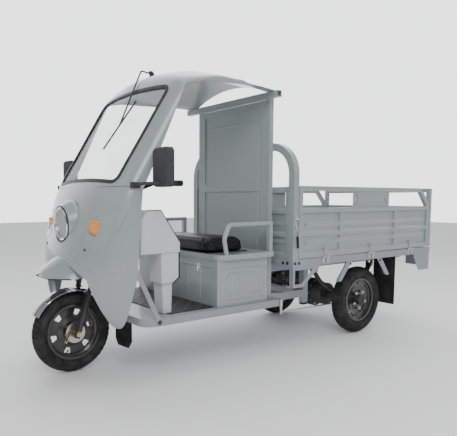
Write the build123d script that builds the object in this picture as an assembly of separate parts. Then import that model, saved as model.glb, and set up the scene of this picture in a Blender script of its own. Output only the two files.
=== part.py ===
from build123d import *
import os
from math import cos, radians, sin, tan

# Electric cargo tricycle: a half-open cab over one steered wheel, and a drop-side cargo bed.
# Frame: +X forward, +Y to the rider's left, +Z up, millimetres. The origin is on the ground,
# half-way along the machine. Each named sub-part is written to its own STEP file.

# ---------------------------------------------------------------- clearances and stock
seat_gap = 0.3          # between pieces that seat on one another
running_gap = 0.5       # round a turning shaft or pin
moving_gap = 6          # between a moving piece and what it passes
sheet = 4               # pressed sheet and small plate
tube_wall = 3

# ---------------------------------------------------------------- wheels and axles
front_axle_x = 1400
wheelbase = 2205
rear_track = 860
front_tyre_radius = 247
front_tyre_width = 92
rear_tyre_radius = 260
rear_tyre_width = 102
rim_seat_radius = 160
rim_width = 76
rim_well_depth = 14
rim_flange = 9
rim_wall = 4
front_axle_radius = 8
rear_shaft_radius = 15
rear_tube_radius = 30
drum_radius = 104

# ---------------------------------------------------------------- steering
rake = 18
fork_offset = 40
fork_half_spread = 88
fork_leg_radius = 20
fork_tube_radius = 15
stem_radius = 17
crown_z = 578
head_tube_wall = 8
head_tube_bottom = 612
head_tube_top = 800
clamp_z = 1052
bar_radius = 12
grip_radius = 17
grip_length = 120
bar_half_width = 430
bar_sweep = 215
bar_rise = 90
mudguard_gap = 20

# ---------------------------------------------------------------- cab
cab_half_width = 500
cab_wall = 12
cab_pivot_x = 430
cab_pivot_z = 1118
cab_leg = 600
cab_rear_x = 145
screen_tilt = 32.04
screen_distance = 779
screen_low = -448
screen_high = 227
screen_low_half = 400
screen_high_half = 420
screen_corner = 62
seal_width = 22
seal_depth = 18
glass_thickness = 5
glass_bite = 8
roof_beam_size = 40
floor_top_z = 375
floor_front_x = 1182
sill_height = 45
sill_half_width = 505
sill_corner = 80
notch_x = 1110
notch_half = 190
mat_thickness = 5

# ---------------------------------------------------------------- back panel and seat
back_panel_x = 129
back_panel_half = 356
back_panel_top = 1710
post_size = 36
seat_box_front_x = 642
seat_box_rear_x = 215
seat_box_half = 474
seat_frame_rear_x = 190
seat_frame_z = 672
seat_frame_height = 32
seat_frame_half = 505
lid_rear_x = 300
lid_half = 372
lid_thickness = 6
cushion_height = 88
lid_barrel = 5
lid_hinge_y = 250
armrest_y = 486
armrest_height = 186
armrest_radius = 14

# ---------------------------------------------------------------- cargo bed
bed_front_x = 63
bed_rear_x = -1636
bed_half = 558
bed_bottom_z = 590
channel_height = 52
deck_height = 2           # deck sheet, standing proud of the channel
deck_margin = 10
hoop_size = 50
hoop_bend = 190
hoop_top_z = 1430
gate_thickness = 30
gate_top_z = 1137
gate_mid_z = 988
gate_rail = 32
gate_skin = 3
hinge_outset = 8
barrel_radius = 6
pin_radius = 3.5
barrel_length = 70

# ---------------------------------------------------------------- derived stations
rear_axle_x = front_axle_x - wheelbase
rear_wheel_y = rear_track / 2
bed_floor_z = bed_bottom_z + channel_height
gate_bottom_z = bed_floor_z + moving_gap
gate_height = gate_top_z - gate_bottom_z
side_gate_front_x = bed_front_x - hoop_size - moving_gap
tailgate_front_x = bed_rear_x + gate_thickness
side_gate_rear_x = tailgate_front_x + moving_gap
side_gate_length = side_gate_front_x - side_gate_rear_x
seat_frame_top = seat_frame_z + seat_frame_height
lid_hinge_z = seat_frame_top + lid_barrel + 1
steer = Vector(-sin(radians(rake)), 0, cos(radians(rake)))
steer_foot = Vector(front_axle_x - fork_offset / cos(radians(rake)), 0, front_tyre_radius)

# Cowl stations: height, nose x, how far the crown falls back, half-width, corner width and depth.
cowl_stations = [
    (334, 1395, 62, 474, 105, 90),
    (400, 1448, 68, 486, 110, 110),
    (500, 1470, 70, 495, 112, 120),
    (603, 1479, 70, 500, 112, 125),
    (769, 1466, 62, 500, 112, 125),
    (900, 1431, 55, 500, 112, 120),
    (1020, 1386, 48, 500, 108, 110),
]
# Roof stations: tilt of the section, its reach from the pivot line (None on the flat screen),
# how far the crown falls back, corner width and depth.
roof_stations = [
    (0, 914, 44, 104, 100),
    (7, None, 40, 100, 90),
    (20, None, 37, 98, 84),
    (34, None, 34, 98, 80),
    (46, None, 34, 100, 76),
    (55, 834, 48, 104, 66),
    (63, 816, 62, 108, 54),
    (70, 799, 68, 109, 48),
    (77, 781, 74, 110, 44),
    (83, 768, 77, 110, 42),
    (90, 754, 79, 110, 40),
]
# Rear roof stations: x, height over the pivot, fall of the crown, corner width and depth.
rear_stations = [
    (cab_rear_x, 731, 79, 110, 38),
]
door_outline = [
    (60, 250),
    (1330, 250),
    (1300, 345),
    (1227, 606),
    (1187, 1099),
    (1076, 1318),
    (890, 1712),
    (764, 1737),
    (312, 1757),
    (60, 1748),
]
door_corner = 45
arch_outline = [
    (-432, 250),
    (-400, 399),
    (-300, 603),
    (-160, 662),
    (160, 662),
    (300, 603),
    (400, 399),
    (432, 250),
]
arch_corner = 40

# Nose fender stations: x, half-width, height of its edges and of its crown.
nose_stations = [
    (1400, 205, 598, 742),
    (1470, 188, 592, 712),
    (1530, 150, 590, 672),
    (1580, 92, 596, 632),
    (1594, 62, 600, 616),
]
flap_x = 1150
lamp_x = 1452
lamp_z = 902
lamp_radius = 100
lamp_depth = 78
indicator_x = 1388
indicator_y = 324
indicator_z = 889
indicator_radius = 44
mirror_foot = (1236, 612, 1124)
mirror_x = 1130
mirror_width = 150
mirror_low = 1113
mirror_high = 1322
wiper_pivot = (813, 1836)
wiper_reach = -60
wiper_swing = 150
mat_front_x = 985
fairing_half = 455
fairing_outline = [
    (1104, 375),
    (1112, 700),
    (1118, 850),
    (1085, 950),
    (1068, 984),
    (1046, 980),
    (925, 842),
    (908, 838),
    (908, 795),
    (924, 790),
    (928, 640),
    (988, 602),
    (1000, 375),
]
strut_foot = (1084, 345)
strut_head = (1243, 700)
post_rear_x = 96
back_panel_split_z = 1130
roof_beam_x = 152
roof_beam_z = 1731
roof_beam_half = 498
armrest_rear_x = 210
armrest_front_x = 600
armrest_z = 890
gate_ribs = (0.3, 0.72)
gate_slant = 128
rail_y = 300
rail_width = 44
lower_rail_height = 55
lower_rail_z = floor_top_z - sheet - lower_rail_height
leg_x = -338
leg_bottom_z = 270
cowl_tie_x = 1240
cowl_tie_z = 760
spring_span = 700
spring_y = 300
outrigger_front_top = -548
outrigger_front_foot = -438
outrigger_rear_top = -920
outrigger_rear_foot = -1036
rear_flap_x = -1142
brake_pivot = (118, 507, 352)

parts = {}


# ---------------------------------------------------------------- small tools
def add(name, *shapes):
    """Files every solid of the shapes under one node name."""
    solids = [solid for shape in shapes for solid in shape.solids()]
    parts[name] = Compound(children=solids)


def box(x0, x1, y0, y1, z0, z1):
    """A box between two corners."""
    size = Box(abs(x1 - x0), abs(y1 - y0), abs(z1 - z0))
    return Pos((x0 + x1) / 2, (y0 + y1) / 2, (z0 + z1) / 2) * size


def pair(shape):
    """The shape and its mirror image across the centre plane."""
    return [shape, mirror(shape, about=Plane.XZ)]


def upright(radius, length):
    """A cylinder standing on its plane."""
    return Cylinder(radius, length, align=(Align.CENTER, Align.CENTER, Align.MIN))


def rod(start, end, radius):
    """A round bar between two points."""
    a, b = Vector(*start), Vector(*end)
    return Plane(origin=a, z_dir=b - a) * upright(radius, (b - a).length)


def disc(radius, y0, y1):
    """A plain disc about the Y axis between two side positions."""
    return Pos(0, y0, 0) * Rot(-90, 0, 0) * upright(radius, y1 - y0)


def bent_path(points, bend):
    """A line through the points with rounded bends."""
    return FilletPolyline(*points, radius=bend) if len(points) > 2 else Line(*points)


def round_bar(points, radius, bend, wall=0):
    """A bent round bar, hollow where a wall is given."""
    path = bent_path(points, bend)
    start = Plane(origin=path @ 0, z_dir=path % 0)
    bar = sweep(start * Circle(radius), path=path)
    if wall:
        bar -= sweep(start * Circle(radius - wall), path=path)
    return bar


def square_bar(points, width, depth, bend, across):
    """A bent rectangular bar; the width lies along the given direction."""
    path = bent_path(points, bend)
    start = Plane(origin=path @ 0, z_dir=path % 0, x_dir=across)
    return sweep(start * Rectangle(width, depth), path=path)


def slab(points, plane, start, end):
    """An outline drawn on a plane, extruded between two offsets from it."""
    face = plane.offset(start) * make_face(Polyline(*points, close=True))
    return extrude(face, amount=end - start)


def on_steer(z):
    """The point of the steering axis at a height."""
    return steer_foot + steer * ((z - steer_foot.Z) / steer.Z)


def largest(shape):
    """The biggest solid of a shape."""
    return shape.solids().sort_by(SortBy.VOLUME)[-1]


# ---------------------------------------------------------------- wheels
def tyre(radius, width):
    """A tyre ring about the Y axis, seated between the rim's flanges."""
    bead = rim_width / 2 - rim_wall - seat_gap
    inner = rim_seat_radius + seat_gap
    clear = rim_seat_radius + rim_flange + 2
    belly = (radius + clear) / 2
    shoulder = width * 0.36
    drop = width * 0.12
    outline = [
        Line((inner, -bead), (clear, -bead)),
        ThreePointArc((clear, -bead), (belly, -width / 2), (radius - drop, -shoulder)),
        ThreePointArc((radius - drop, -shoulder), (radius, 0), (radius - drop, shoulder)),
        ThreePointArc((radius - drop, shoulder), (belly, width / 2), (clear, bead)),
        Line((clear, bead), (inner, bead)),
        Line((inner, bead), (inner, -bead)),
    ]
    return revolve(make_face(Wire(outline)), axis=Axis.Y)


def rim_barrel():
    """The rolled barrel of a rim with its well and two flanges, about the Y axis."""
    half = rim_width / 2
    lip = half - rim_wall
    shelf = half - 18
    well = half - 26
    top = rim_seat_radius
    bottom = top - rim_well_depth
    outside = [(top, lip), (top + rim_flange, lip), (top + rim_flange, half), (top - rim_wall, half)]
    under = [(top - rim_wall, shelf), (bottom - rim_wall, well)]
    profile = [(top, shelf), *outside, *under]
    profile += [(r, -y) for r, y in reversed(under + [])]
    profile += [(r, -y) for r, y in reversed(outside)]
    profile += [(top, -shelf), (bottom, -well), (bottom, well)]
    return revolve(make_face(Polyline(*profile, close=True)), axis=Axis.Y)


def dished_disc(inner, bore, y_rim, y_hub, thickness):
    """A pressed wheel disc whose centre stands off from its edge."""
    outer = rim_seat_radius - rim_well_depth - rim_wall / 2
    outline = Polyline(
        (bore, y_hub),
        (inner, y_hub),
        (inner + 26, y_rim),
        (outer, y_rim),
        (outer, y_rim + thickness),
        (inner + 24, y_rim + thickness),
        (inner - 2, y_hub + thickness),
        (bore, y_hub + thickness),
        close=True,
    )
    return revolve(make_face(outline), axis=Axis.Y)


def disc_window(distance, width, height):
    """A rounded wheel-disc window, wider towards the rim, on the +X side."""
    outline = make_face(
        Polyline(
            (distance - height / 2, -width / 4),
            (distance + height / 2, -width / 2),
            (distance + height / 2, width / 2),
            (distance - height / 2, width / 4),
            close=True,
        )
    )
    rounded = fillet(outline.vertices(), radius=6)
    return extrude(Plane.XZ * rounded, amount=rim_width, both=True)


def make_front_wheel():
    """Front tyre, and its windowed disc wheel with hub and brake drum."""
    centre = Pos(front_axle_x, 0, front_tyre_radius)
    add("front_tyre", centre * tyre(front_tyre_radius, front_tyre_width))
    rim = rim_barrel() + dished_disc(66, 34, -4, 8, 5)
    for k in range(6):
        rim -= Rot(0, 60 * k + 15, 0) * disc_window(119, 46, 34)
    rim += disc(36, -50, 30)
    rim += disc(66, -22, 10)
    rim -= disc(front_axle_radius + running_gap, -60, 60)
    add("front_wheel_rim", centre * rim)


def make_rear_wheel(side, sign):
    """One driven rear wheel: tyre, and deep pressed disc with drum, cap and nuts."""
    centre = Pos(rear_axle_x, sign * rear_wheel_y, rear_tyre_radius)
    add(f"rear_tyre_{side}", centre * tyre(rear_tyre_radius, rear_tyre_width))
    rim = rim_barrel() + dished_disc(96, 20, 10, 0, 6)
    for k in range(8):
        rim -= Rot(0, 45 * k, 0) * Pos(132, 0, 0) * Rot(90, 0, 0) * Cylinder(8, 120)
    rim += disc(drum_radius, -30, 2)
    rim += disc(54, 4, 34) + disc(42, 34, 46)
    for k in range(5):
        rim += Rot(0, 72 * k + 20, 0) * Pos(74, 0, 0) * disc(9, 4, 18)
    rim -= disc(rear_shaft_radius + running_gap, -60, 26)
    if sign < 0:
        rim = mirror(rim, about=Plane.XZ)
    add(f"rear_rim_{side}", centre * rim)


# ---------------------------------------------------------------- steering
def make_fork():
    """Fork with its crown and stem, the front axle and the brake plate."""
    crown = on_steer(crown_z)
    across = Plane(origin=crown, z_dir=steer, x_dir=(0, 1, 0))
    axle = Vector(front_axle_x, 0, front_tyre_radius)
    reach = (crown - axle).dot(steer) + 26
    fork = None
    for sign in (1, -1):
        foot = axle + Vector(0, sign * fork_half_spread, 0) - steer * 26
        leg = Plane(origin=foot, z_dir=steer) * upright(fork_leg_radius, 240)
        leg += Plane(origin=foot, z_dir=steer) * upright(fork_tube_radius, reach)
        fork = leg if fork is None else fork + leg
    yoke_width = 2 * (fork_half_spread + fork_leg_radius)
    ahead = crown + Vector(cos(radians(rake)), 0, sin(radians(rake))) * (fork_offset / 2)
    yoke = Plane(origin=ahead, z_dir=steer, x_dir=(0, 1, 0))
    fork += yoke * Box(yoke_width, fork_offset + 44, 24)
    fork += across * upright(stem_radius, (on_steer(clamp_z) - crown).length)
    spindle = Pos(axle.X, 0, axle.Z) * Rot(90, 0, 0) * Cylinder(
        front_axle_radius, 2 * (fork_half_spread + fork_leg_radius) + 30
    )
    add("fork", fork - spindle)
    plate = disc(62, 0, 12)
    add("front_axle", spindle + Pos(axle.X, 44, axle.Z) * plate)


def bar_points():
    """The handlebar's bend points, from one end to the other."""
    clamp = on_steer(clamp_z)
    side = [
        (clamp.X - bar_sweep, bar_half_width, clamp.Z + bar_rise),
        (clamp.X - bar_sweep + 100, bar_half_width - 150, clamp.Z + bar_rise),
        (clamp.X, 95, clamp.Z + 16),
    ]
    return side + [(x, -y, z) for x, y, z in reversed(side)]


def make_handlebar():
    """Swept-back handlebar in its clamp, with two rubber grips."""
    points = bar_points()
    clamp = on_steer(clamp_z)
    bar = round_bar(points, bar_radius, 45)
    bar += Pos(clamp.X, 0, clamp.Z + 14) * Box(54, 76, 46)
    stem = Plane(origin=on_steer(crown_z), z_dir=steer) * upright(
        stem_radius, (clamp - on_steer(crown_z)).length
    )
    add("handlebar", bar - stem)
    grips = []
    for sign in (1, -1):
        end = Vector(points[0][0], sign * points[0][1], points[0][2])
        inner = Vector(points[1][0], sign * points[1][1], points[1][2])
        along = (end - inner).normalized()
        root = Plane(origin=end - along * (grip_length - 5), z_dir=along)
        hole = upright(bar_radius, grip_length - 5)
        grips.append(root * (upright(grip_radius, grip_length) - hole))
    add("hand_grips", *grips)


def make_front_mudguard():
    """The arched guard that turns with the wheel, on stays from the fork legs."""
    inner = front_tyre_radius + mudguard_gap
    half = front_tyre_width / 2 + 8
    arc = revolve(
        make_face(
            Wire(
                [
                    ThreePointArc((inner - 14, -half), (inner, 0), (inner - 14, half)),
                    Line((inner - 14, half), (inner - 11, half)),
                    ThreePointArc((inner - 11, half), (inner + 3, 0), (inner - 11, -half)),
                    Line((inner - 11, -half), (inner - 14, -half)),
                ]
            )
        ),
        axis=Axis.Y,
        revolution_arc=84,
    )
    centre = Pos(front_axle_x, 0, front_tyre_radius)
    guard = centre * Rot(0, -112, 0) * arc
    leg_side = fork_half_spread - fork_tube_radius - seat_gap
    hold = Vector(front_axle_x, 0, front_tyre_radius) + steer * (inner - 12)
    stay = rod((hold.X, half - 12, hold.Z), (hold.X, leg_side, hold.Z), 7)
    for piece in pair(stay):
        guard += piece
    add("front_mudguard", guard)


# ---------------------------------------------------------------- cab shell
def hoop_face(plane, reach, sag, half, corner, depth, wall):
    """A thin U across the cab: crowned front, rounded corners and two straight legs."""

    def flank(inset, sign):
        width = half - inset
        shoulder = reach - sag - inset
        knee = width - corner
        foot = shoulder - depth
        lean = 2 * sag / knee * corner * 0.45
        bend = Bezier(
            (foot, sign * width),
            (foot + depth * 0.6, sign * width),
            (shoulder - lean, sign * (knee + corner * 0.45)),
            (shoulder, sign * knee),
        )
        return [Line((cab_leg, sign * width), (foot, sign * width)), bend]

    def crown(inset):
        knee = half - inset - corner
        shoulder = reach - sag - inset
        return ThreePointArc((shoulder, -knee), (reach - inset, 0), (shoulder, knee))

    edges = []
    for inset in (0, wall):
        edges += [*flank(inset, -1), crown(inset), *flank(inset, 1)]
    for sign in (-1, 1):
        edges.append(Line((cab_leg, sign * half), (cab_leg, sign * (half - wall))))
    return plane * make_face(Wire(edges))


def cab_skin(inset, wall):
    """One smooth skin from the cowl's lip to the roof's rear edge, set in from the outside."""
    faces = []
    for z, nose, sag, half, corner, depth in cowl_stations:
        plane = Plane(origin=(cab_pivot_x, 0, z), x_dir=(1, 0, 0), z_dir=(0, 0, 1))
        reach = nose - cab_pivot_x
        faces.append(hoop_face(plane, reach - inset, sag, half - inset, corner, depth, wall))
    for angle, reach, sag, corner, depth in roof_stations:
        tilt = radians(angle)
        plane = Plane(
            origin=(cab_pivot_x, 0, cab_pivot_z),
            x_dir=(cos(tilt), 0, sin(tilt)),
            z_dir=(-sin(tilt), 0, cos(tilt)),
        )
        flat = screen_distance / cos(radians(angle - screen_tilt))
        out = (reach or flat) - inset
        faces.append(hoop_face(plane, out, sag, cab_half_width - inset, corner, depth, wall))
    rear = [faces[-1]]
    for x, reach, sag, corner, depth in rear_stations:
        plane = Plane(origin=(x, 0, cab_pivot_z), x_dir=(0, 0, 1), z_dir=(-1, 0, 0))
        out = reach - inset
        rear.append(hoop_face(plane, out, sag, cab_half_width - inset, corner, depth, wall))
    return loft(faces) + loft(rear, ruled=True)


def door_prism():
    """The open side of the cab, through its whole width."""
    outline = make_face(FilletPolyline(*door_outline, radius=door_corner, close=True))
    return extrude(Plane.XZ * outline, amount=2 * cab_half_width, both=True)


def screen_prism(margin):
    """The windscreen's rounded outline, grown by a margin, along the screen's normal."""
    plane = Plane(
        origin=(cab_pivot_x, 0, cab_pivot_z),
        x_dir=(0, 1, 0),
        z_dir=(cos(radians(screen_tilt)), 0, sin(radians(screen_tilt))),
    )
    low = screen_low - margin
    high = screen_high + margin
    outline = Polyline(
        (-screen_low_half - margin, low),
        (screen_low_half + margin, low),
        (screen_high_half + margin, high),
        (-screen_high_half - margin, high),
        close=True,
    )
    face = fillet(make_face(outline).vertices(), radius=screen_corner + margin)
    return extrude(plane.offset(screen_distance - 220) * face, amount=420)


def make_cab():
    """Front cowl, roof with its pillars, windscreen and windscreen seal."""
    skin = cab_skin(0, cab_wall) - door_prism()
    below = box(0, 2000, -700, 700, 0, cab_pivot_z)
    above = box(0, 2000, -700, 700, cab_pivot_z, 2500)
    opening = make_face(FilletPolyline(*arch_outline, radius=arch_corner, close=True))
    cowl = (skin & below) - Pos(1150, 0, 0) * extrude(Plane.YZ * opening, amount=500)
    add("front_cowl", cowl + lamp_bezel() - lamp_holes())
    add("roof_shell", (skin & above) - screen_prism(0))
    proud = 3
    glass_inset = seal_depth / 2 - proud - glass_thickness / 2
    glass = cab_skin(glass_inset, glass_thickness) & screen_prism(glass_bite - seal_width)
    add("windscreen_glass", glass)
    band = cab_skin(-proud, seal_depth) & (screen_prism(0) - screen_prism(-seal_width))
    add("windscreen_seal", band - glass)


# ---------------------------------------------------------------- front of the cab
def lamp_frame():
    """Plane at the headlamp's rim, looking along its beam."""
    return Plane(origin=(lamp_x, 0, lamp_z), x_dir=(0, 1, 0), z_dir=(1, 0, -0.06))


def indicator_frame(sign):
    """Plane at an indicator, square to the cowl there."""
    return Plane(
        origin=(indicator_x, sign * indicator_y, indicator_z),
        x_dir=(0, 1, 0),
        z_dir=(1, sign * 0.3, -0.12),
    )


def lamp_bezel():
    """The pressed swelling of the cowl round the headlamp."""
    section = make_face(
        Polyline(
            (0, -68), (lamp_radius + 40, -68), (lamp_radius + 36, -52), (lamp_radius + 12, -6),
            (lamp_radius + 7, 0), (0, 0), close=True,
        )
    )
    return lamp_frame() * revolve(Plane.XZ * section, axis=Axis.Z)


def lamp_holes():
    """The holes in the cowl that the headlamp and indicators fill."""
    holes = lamp_frame() * (Pos(0, 0, -150) * upright(lamp_radius + seat_gap, 250))
    for sign in (1, -1):
        holes += indicator_frame(sign) * (Pos(0, 0, -60) * upright(indicator_radius + seat_gap, 100))
    return holes


def nose_rib(x, half, base, crest):
    """A thin arched section of the nose fender at a station."""
    plane = Plane(origin=(x, 0, 0), x_dir=(0, 1, 0), z_dir=(1, 0, 0))
    arch = [
        ThreePointArc((-half, base), (0, crest), (half, base)),
        Line((half, base), (half - sheet, base)),
        ThreePointArc((half - sheet, base), (0, crest - sheet), (sheet - half, base)),
        Line((sheet - half, base), (-half, base)),
    ]
    return plane * make_face(Wire(arch))


def make_nose():
    """The fixed fender under the headlamp, and the flaps behind the front wheel."""
    nose = loft([nose_rib(*station) for station in nose_stations])
    add("nose_fender", largest(nose - parts["front_cowl"]))
    top = floor_top_z - sill_height - seat_gap
    flap = slab(
        [(100, top), (300, top), (300, 205), (262, 158), (130, 150), (100, 190)],
        Plane.YZ,
        flap_x,
        flap_x + sheet,
    )
    return pair(flap)


def lamp_profile(radius, depth):
    """A lamp can's section: closed back, rolled rim and open dish, about its own axis."""
    return make_face(
        Polyline(
            (0, -depth),
            (radius * 0.7, -depth),
            (radius - 6, -depth * 0.45),
            (radius - 6, -8),
            (radius, -8),
            (radius, 4),
            (radius - 5, 9),
            (radius - 14, 4),
            (radius - 14, -2),
            (radius - 18, -depth * 0.4),
            (0, -depth + 6),
            close=True,
        )
    )


def make_lamps():
    """Round headlamp with its lens, and the two amber indicators."""
    aim = lamp_frame()
    can = revolve(Plane.XZ * lamp_profile(lamp_radius, lamp_depth), axis=Axis.Z)
    lens = Pos(0, 0, -1.7) * upright(lamp_radius - 14 - seat_gap, 5)
    add("headlamp", aim * can)
    add("headlamp_lens", aim * lens)
    bulb = []
    for sign in (1, -1):
        face = indicator_frame(sign)
        dome = Pos(0, 0, -22) * upright(indicator_radius, 30)
        dome = fillet(dome.edges().sort_by(Axis.Z)[-1], radius=10)
        bulb.append(face * dome)
    add("indicators", *bulb)


def make_mirrors():
    """Two door mirrors: base plate and bent arm on the cowl, and a rounded housing."""
    x, y, z = mirror_foot
    wall = cab_half_width
    foot = box(x - 30, x + 30, wall + seat_gap, wall + 9, z - 16, z + 16)
    stalk = [(x, wall + 4, z), (x - 10, y - 30, z + 8), (mirror_x + 12, y, z + 10), (mirror_x + 12, y, z + 60)]
    arm = round_bar(stalk, 8, 16)
    middle = (mirror_low + mirror_high) / 2
    shell = Pos(mirror_x, y, middle) * Box(46, mirror_width, mirror_high - mirror_low)
    shell = fillet(shell.edges().filter_by(Axis.X), radius=28)
    shell = fillet(shell.faces().sort_by(Axis.X)[-1].edges(), radius=14)
    add("mirrors", *pair(foot + arm + shell))


def make_wiper():
    """Wiper motor boss, arm and blade over the screen."""
    x, z = wiper_pivot
    boss = Pos(x, 0, z) * upright(16, 26)
    normal = Vector(cos(radians(screen_tilt)), 0, sin(radians(screen_tilt)))
    up = Vector(-sin(radians(screen_tilt)), 0, cos(radians(screen_tilt)))
    origin = Vector(cab_pivot_x, 0, cab_pivot_z) + normal * (screen_distance + 14)
    tip = origin + up * wiper_reach + Vector(0, wiper_swing, 0)
    arm = round_bar([(x, 0, z + 18), (x + 80, 0, z + 30), tuple(tip)], 5, 25)
    blade = rod(tip - up * 170 - Vector(0, 40, 0), tip + up * 170 + Vector(0, 40, 0), 5)
    add("wiper", largest(boss + arm + blade - parts["roof_shell"]))


# ---------------------------------------------------------------- floor and inner fairing
def make_floor():
    """Pressed floor pan with turned-down sills, and the rubber mat on it."""
    rear = post_rear_x
    outline = make_face(
        Polyline(
            (floor_front_x, -sill_half_width),
            (floor_front_x, sill_half_width),
            (rear, sill_half_width),
            (rear, -sill_half_width),
            close=True,
        )
    )
    rounded = fillet(outline.vertices().sort_by(Axis.X)[-2:], radius=sill_corner)
    notch = Rectangle(2 * (floor_front_x - notch_x), 2 * notch_half)
    notch = fillet(notch.vertices(), radius=30)
    rounded -= Pos(floor_front_x, 0, 0) * notch
    low = floor_top_z - sill_height
    pan = extrude(Pos(0, 0, low) * rounded, amount=sill_height)
    pan -= extrude(Pos(0, 0, low) * offset(rounded, amount=-38), amount=sill_height - sheet)
    pan -= box(rear - 1, rear + 60, -sill_half_width + 38, sill_half_width - 38, low, floor_top_z - sheet)
    add("floor_pan", pan - down_tube(seat_gap))
    width = 2 * (sill_half_width - 60)
    length = mat_front_x - seat_box_front_x - 4
    mat = Pos((mat_front_x + seat_box_front_x + 4) / 2, 0, floor_top_z) * Rectangle(length, width)
    add("floor_mat", extrude(mat, amount=mat_thickness))


def make_fairing():
    """The moulded console across the cab behind the steering head, open to the front."""
    half = fairing_half
    solid = slab(fairing_outline, Plane.XZ, -half, half)
    hollow = [(x + (40 if x > 1080 else sheet), z) for x, z in fairing_outline]
    room = slab([(x, z - sheet) for x, z in hollow], Plane.XZ, -half + sheet, half - sheet)
    add("inner_fairing", largest(solid - room))


def make_struts():
    """Flat bars from the sill's front corners up to the cowl."""
    foot = Vector(strut_foot[0], 0, strut_foot[1])
    along = Vector(strut_head[0], 0, strut_head[1]) - foot
    length = along.length
    up = along.normalized()
    plane = Plane(origin=foot, x_dir=up, z_dir=Vector(-up.Z, 0, up.X))
    low = sill_half_width + seat_gap
    high = cab_half_width - cab_wall - seat_gap - 5
    bar = slab(
        [(0, low), (34, low), (length - 80, high), (length, high), (length, high + 5),
         (length - 80, high + 5), (34, low + 5), (0, low + 5)],
        plane, -14, 14,
    )
    add("cowl_struts", *pair(bar))


# ---------------------------------------------------------------- seat and back panel
def make_back_panel():
    """Back panel between two square posts that run down to the chassis."""
    y = back_panel_half
    x = back_panel_x
    panel = box(x - 18, x + 6, -y, y, floor_top_z + seat_gap, back_panel_top)
    split = back_panel_split_z
    for z0, z1 in ((760, split - 26), (split + 26, back_panel_top - 40)):
        panel -= box(x - 2, x + 20, -y + 45, y - 45, z0, z1)
        panel -= box(x - 40, x - 10, -y + 45, y - 45, z0, z1)
    add("cab_back_panel", panel)
    post = box(
        post_rear_x, post_rear_x + post_size, y, y + post_size, floor_top_z, back_panel_top + 14
    )
    hole = box(
        post_rear_x + tube_wall,
        post_rear_x + post_size - tube_wall,
        y + tube_wall,
        y + post_size - tube_wall,
        0,
        2000,
    )
    beam = Pos(roof_beam_x, 0, roof_beam_z) * (
        Box(roof_beam_size, 2 * roof_beam_half, roof_beam_size)
        - Box(roof_beam_size - 2 * tube_wall, 3000, roof_beam_size - 2 * tube_wall)
    )
    add("cab_rear_frame", *pair(post - hole), beam)


def make_seat():
    """Seat box, the frame on it, armrests, hinged lid and cushion, and the battery inside."""
    top = seat_frame_z
    case = box(seat_box_rear_x, seat_box_front_x, -seat_box_half, seat_box_half, floor_top_z, top)
    case -= box(
        seat_box_rear_x + sheet,
        seat_box_front_x - sheet,
        -seat_box_half + sheet,
        seat_box_half - sheet,
        floor_top_z - 1,
        top + 1,
    )
    add("seat_box", case)
    plan = make_face(
        Polyline(
            (seat_frame_rear_x, -seat_frame_half),
            (seat_box_front_x + 6, -seat_frame_half),
            (seat_box_front_x + 6, seat_frame_half),
            (seat_frame_rear_x, seat_frame_half),
            close=True,
        )
    )
    plan = fillet(plan.vertices().sort_by(Axis.X)[-2:], radius=70)
    frame = extrude(Pos(0, 0, top) * plan, amount=seat_frame_height)
    mouth = box(lid_rear_x + 20, seat_box_front_x - 34, -lid_half + 20, lid_half - 20, 0, 2000)
    under = box(
        seat_box_rear_x + sheet,
        seat_box_front_x - sheet,
        -seat_box_half + sheet,
        seat_box_half - sheet,
        0,
        seat_frame_top - sheet,
    )
    seat_frame = frame - mouth - under
    lid_front = seat_box_front_x - 4
    pan_low = seat_frame_top + seat_gap
    pan = box(lid_rear_x + 8, lid_front, -lid_half, lid_half, pan_low, pan_low + lid_thickness)
    knuckles = None
    for y in (-lid_hinge_y, lid_hinge_y):
        axle = Pos(lid_rear_x, y, lid_hinge_z)
        turning = axle * disc(lid_barrel, -20, 20)
        turning += box(lid_rear_x, lid_rear_x + 12, y - 20, y + 20, pan_low, pan_low + lid_thickness)
        pan += turning - axle * disc(lid_barrel * 0.5 + running_gap, -30, 30)
        fixed = axle * disc(lid_barrel * 0.5, -42, 42)
        for inner, outer in ((-42, -21.5), (21.5, 42)):
            fixed += axle * disc(lid_barrel, inner, outer)
            fixed += box(
                lid_rear_x - lid_barrel, lid_rear_x + lid_barrel, y + inner, y + outer,
                seat_frame_top, lid_hinge_z,
            )
        knuckles = fixed if knuckles is None else knuckles + fixed
    add("seat_lid", pan)
    low = pan_low + lid_thickness + seat_gap
    cushion = box(lid_rear_x + 8, lid_front, -lid_half, lid_half, low, low + cushion_height)
    cushion = fillet(cushion.edges(), radius=18)
    add("seat_cushion", cushion)
    arm = round_bar(
        [
            (armrest_rear_x, armrest_y, armrest_z),
            (armrest_front_x - 40, armrest_y, armrest_z),
            (armrest_front_x, armrest_y, armrest_z - 90),
            (armrest_front_x - 20, armrest_y, seat_frame_top),
        ],
        armrest_radius,
        38,
    )
    arm -= box(0, 1000, 0, 600, 0, seat_frame_top)
    post = box(
        armrest_rear_x - 14,
        armrest_rear_x + 14,
        armrest_y - 14,
        armrest_y + 14,
        seat_frame_top,
        armrest_z + armrest_radius,
    )
    arms = pair(arm + post)
    add("seat_frame", seat_frame + knuckles + arms[0] + arms[1])
    pack = box(250, 600, -260, 260, floor_top_z, floor_top_z + 225)
    add("battery_pack", pack)


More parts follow.
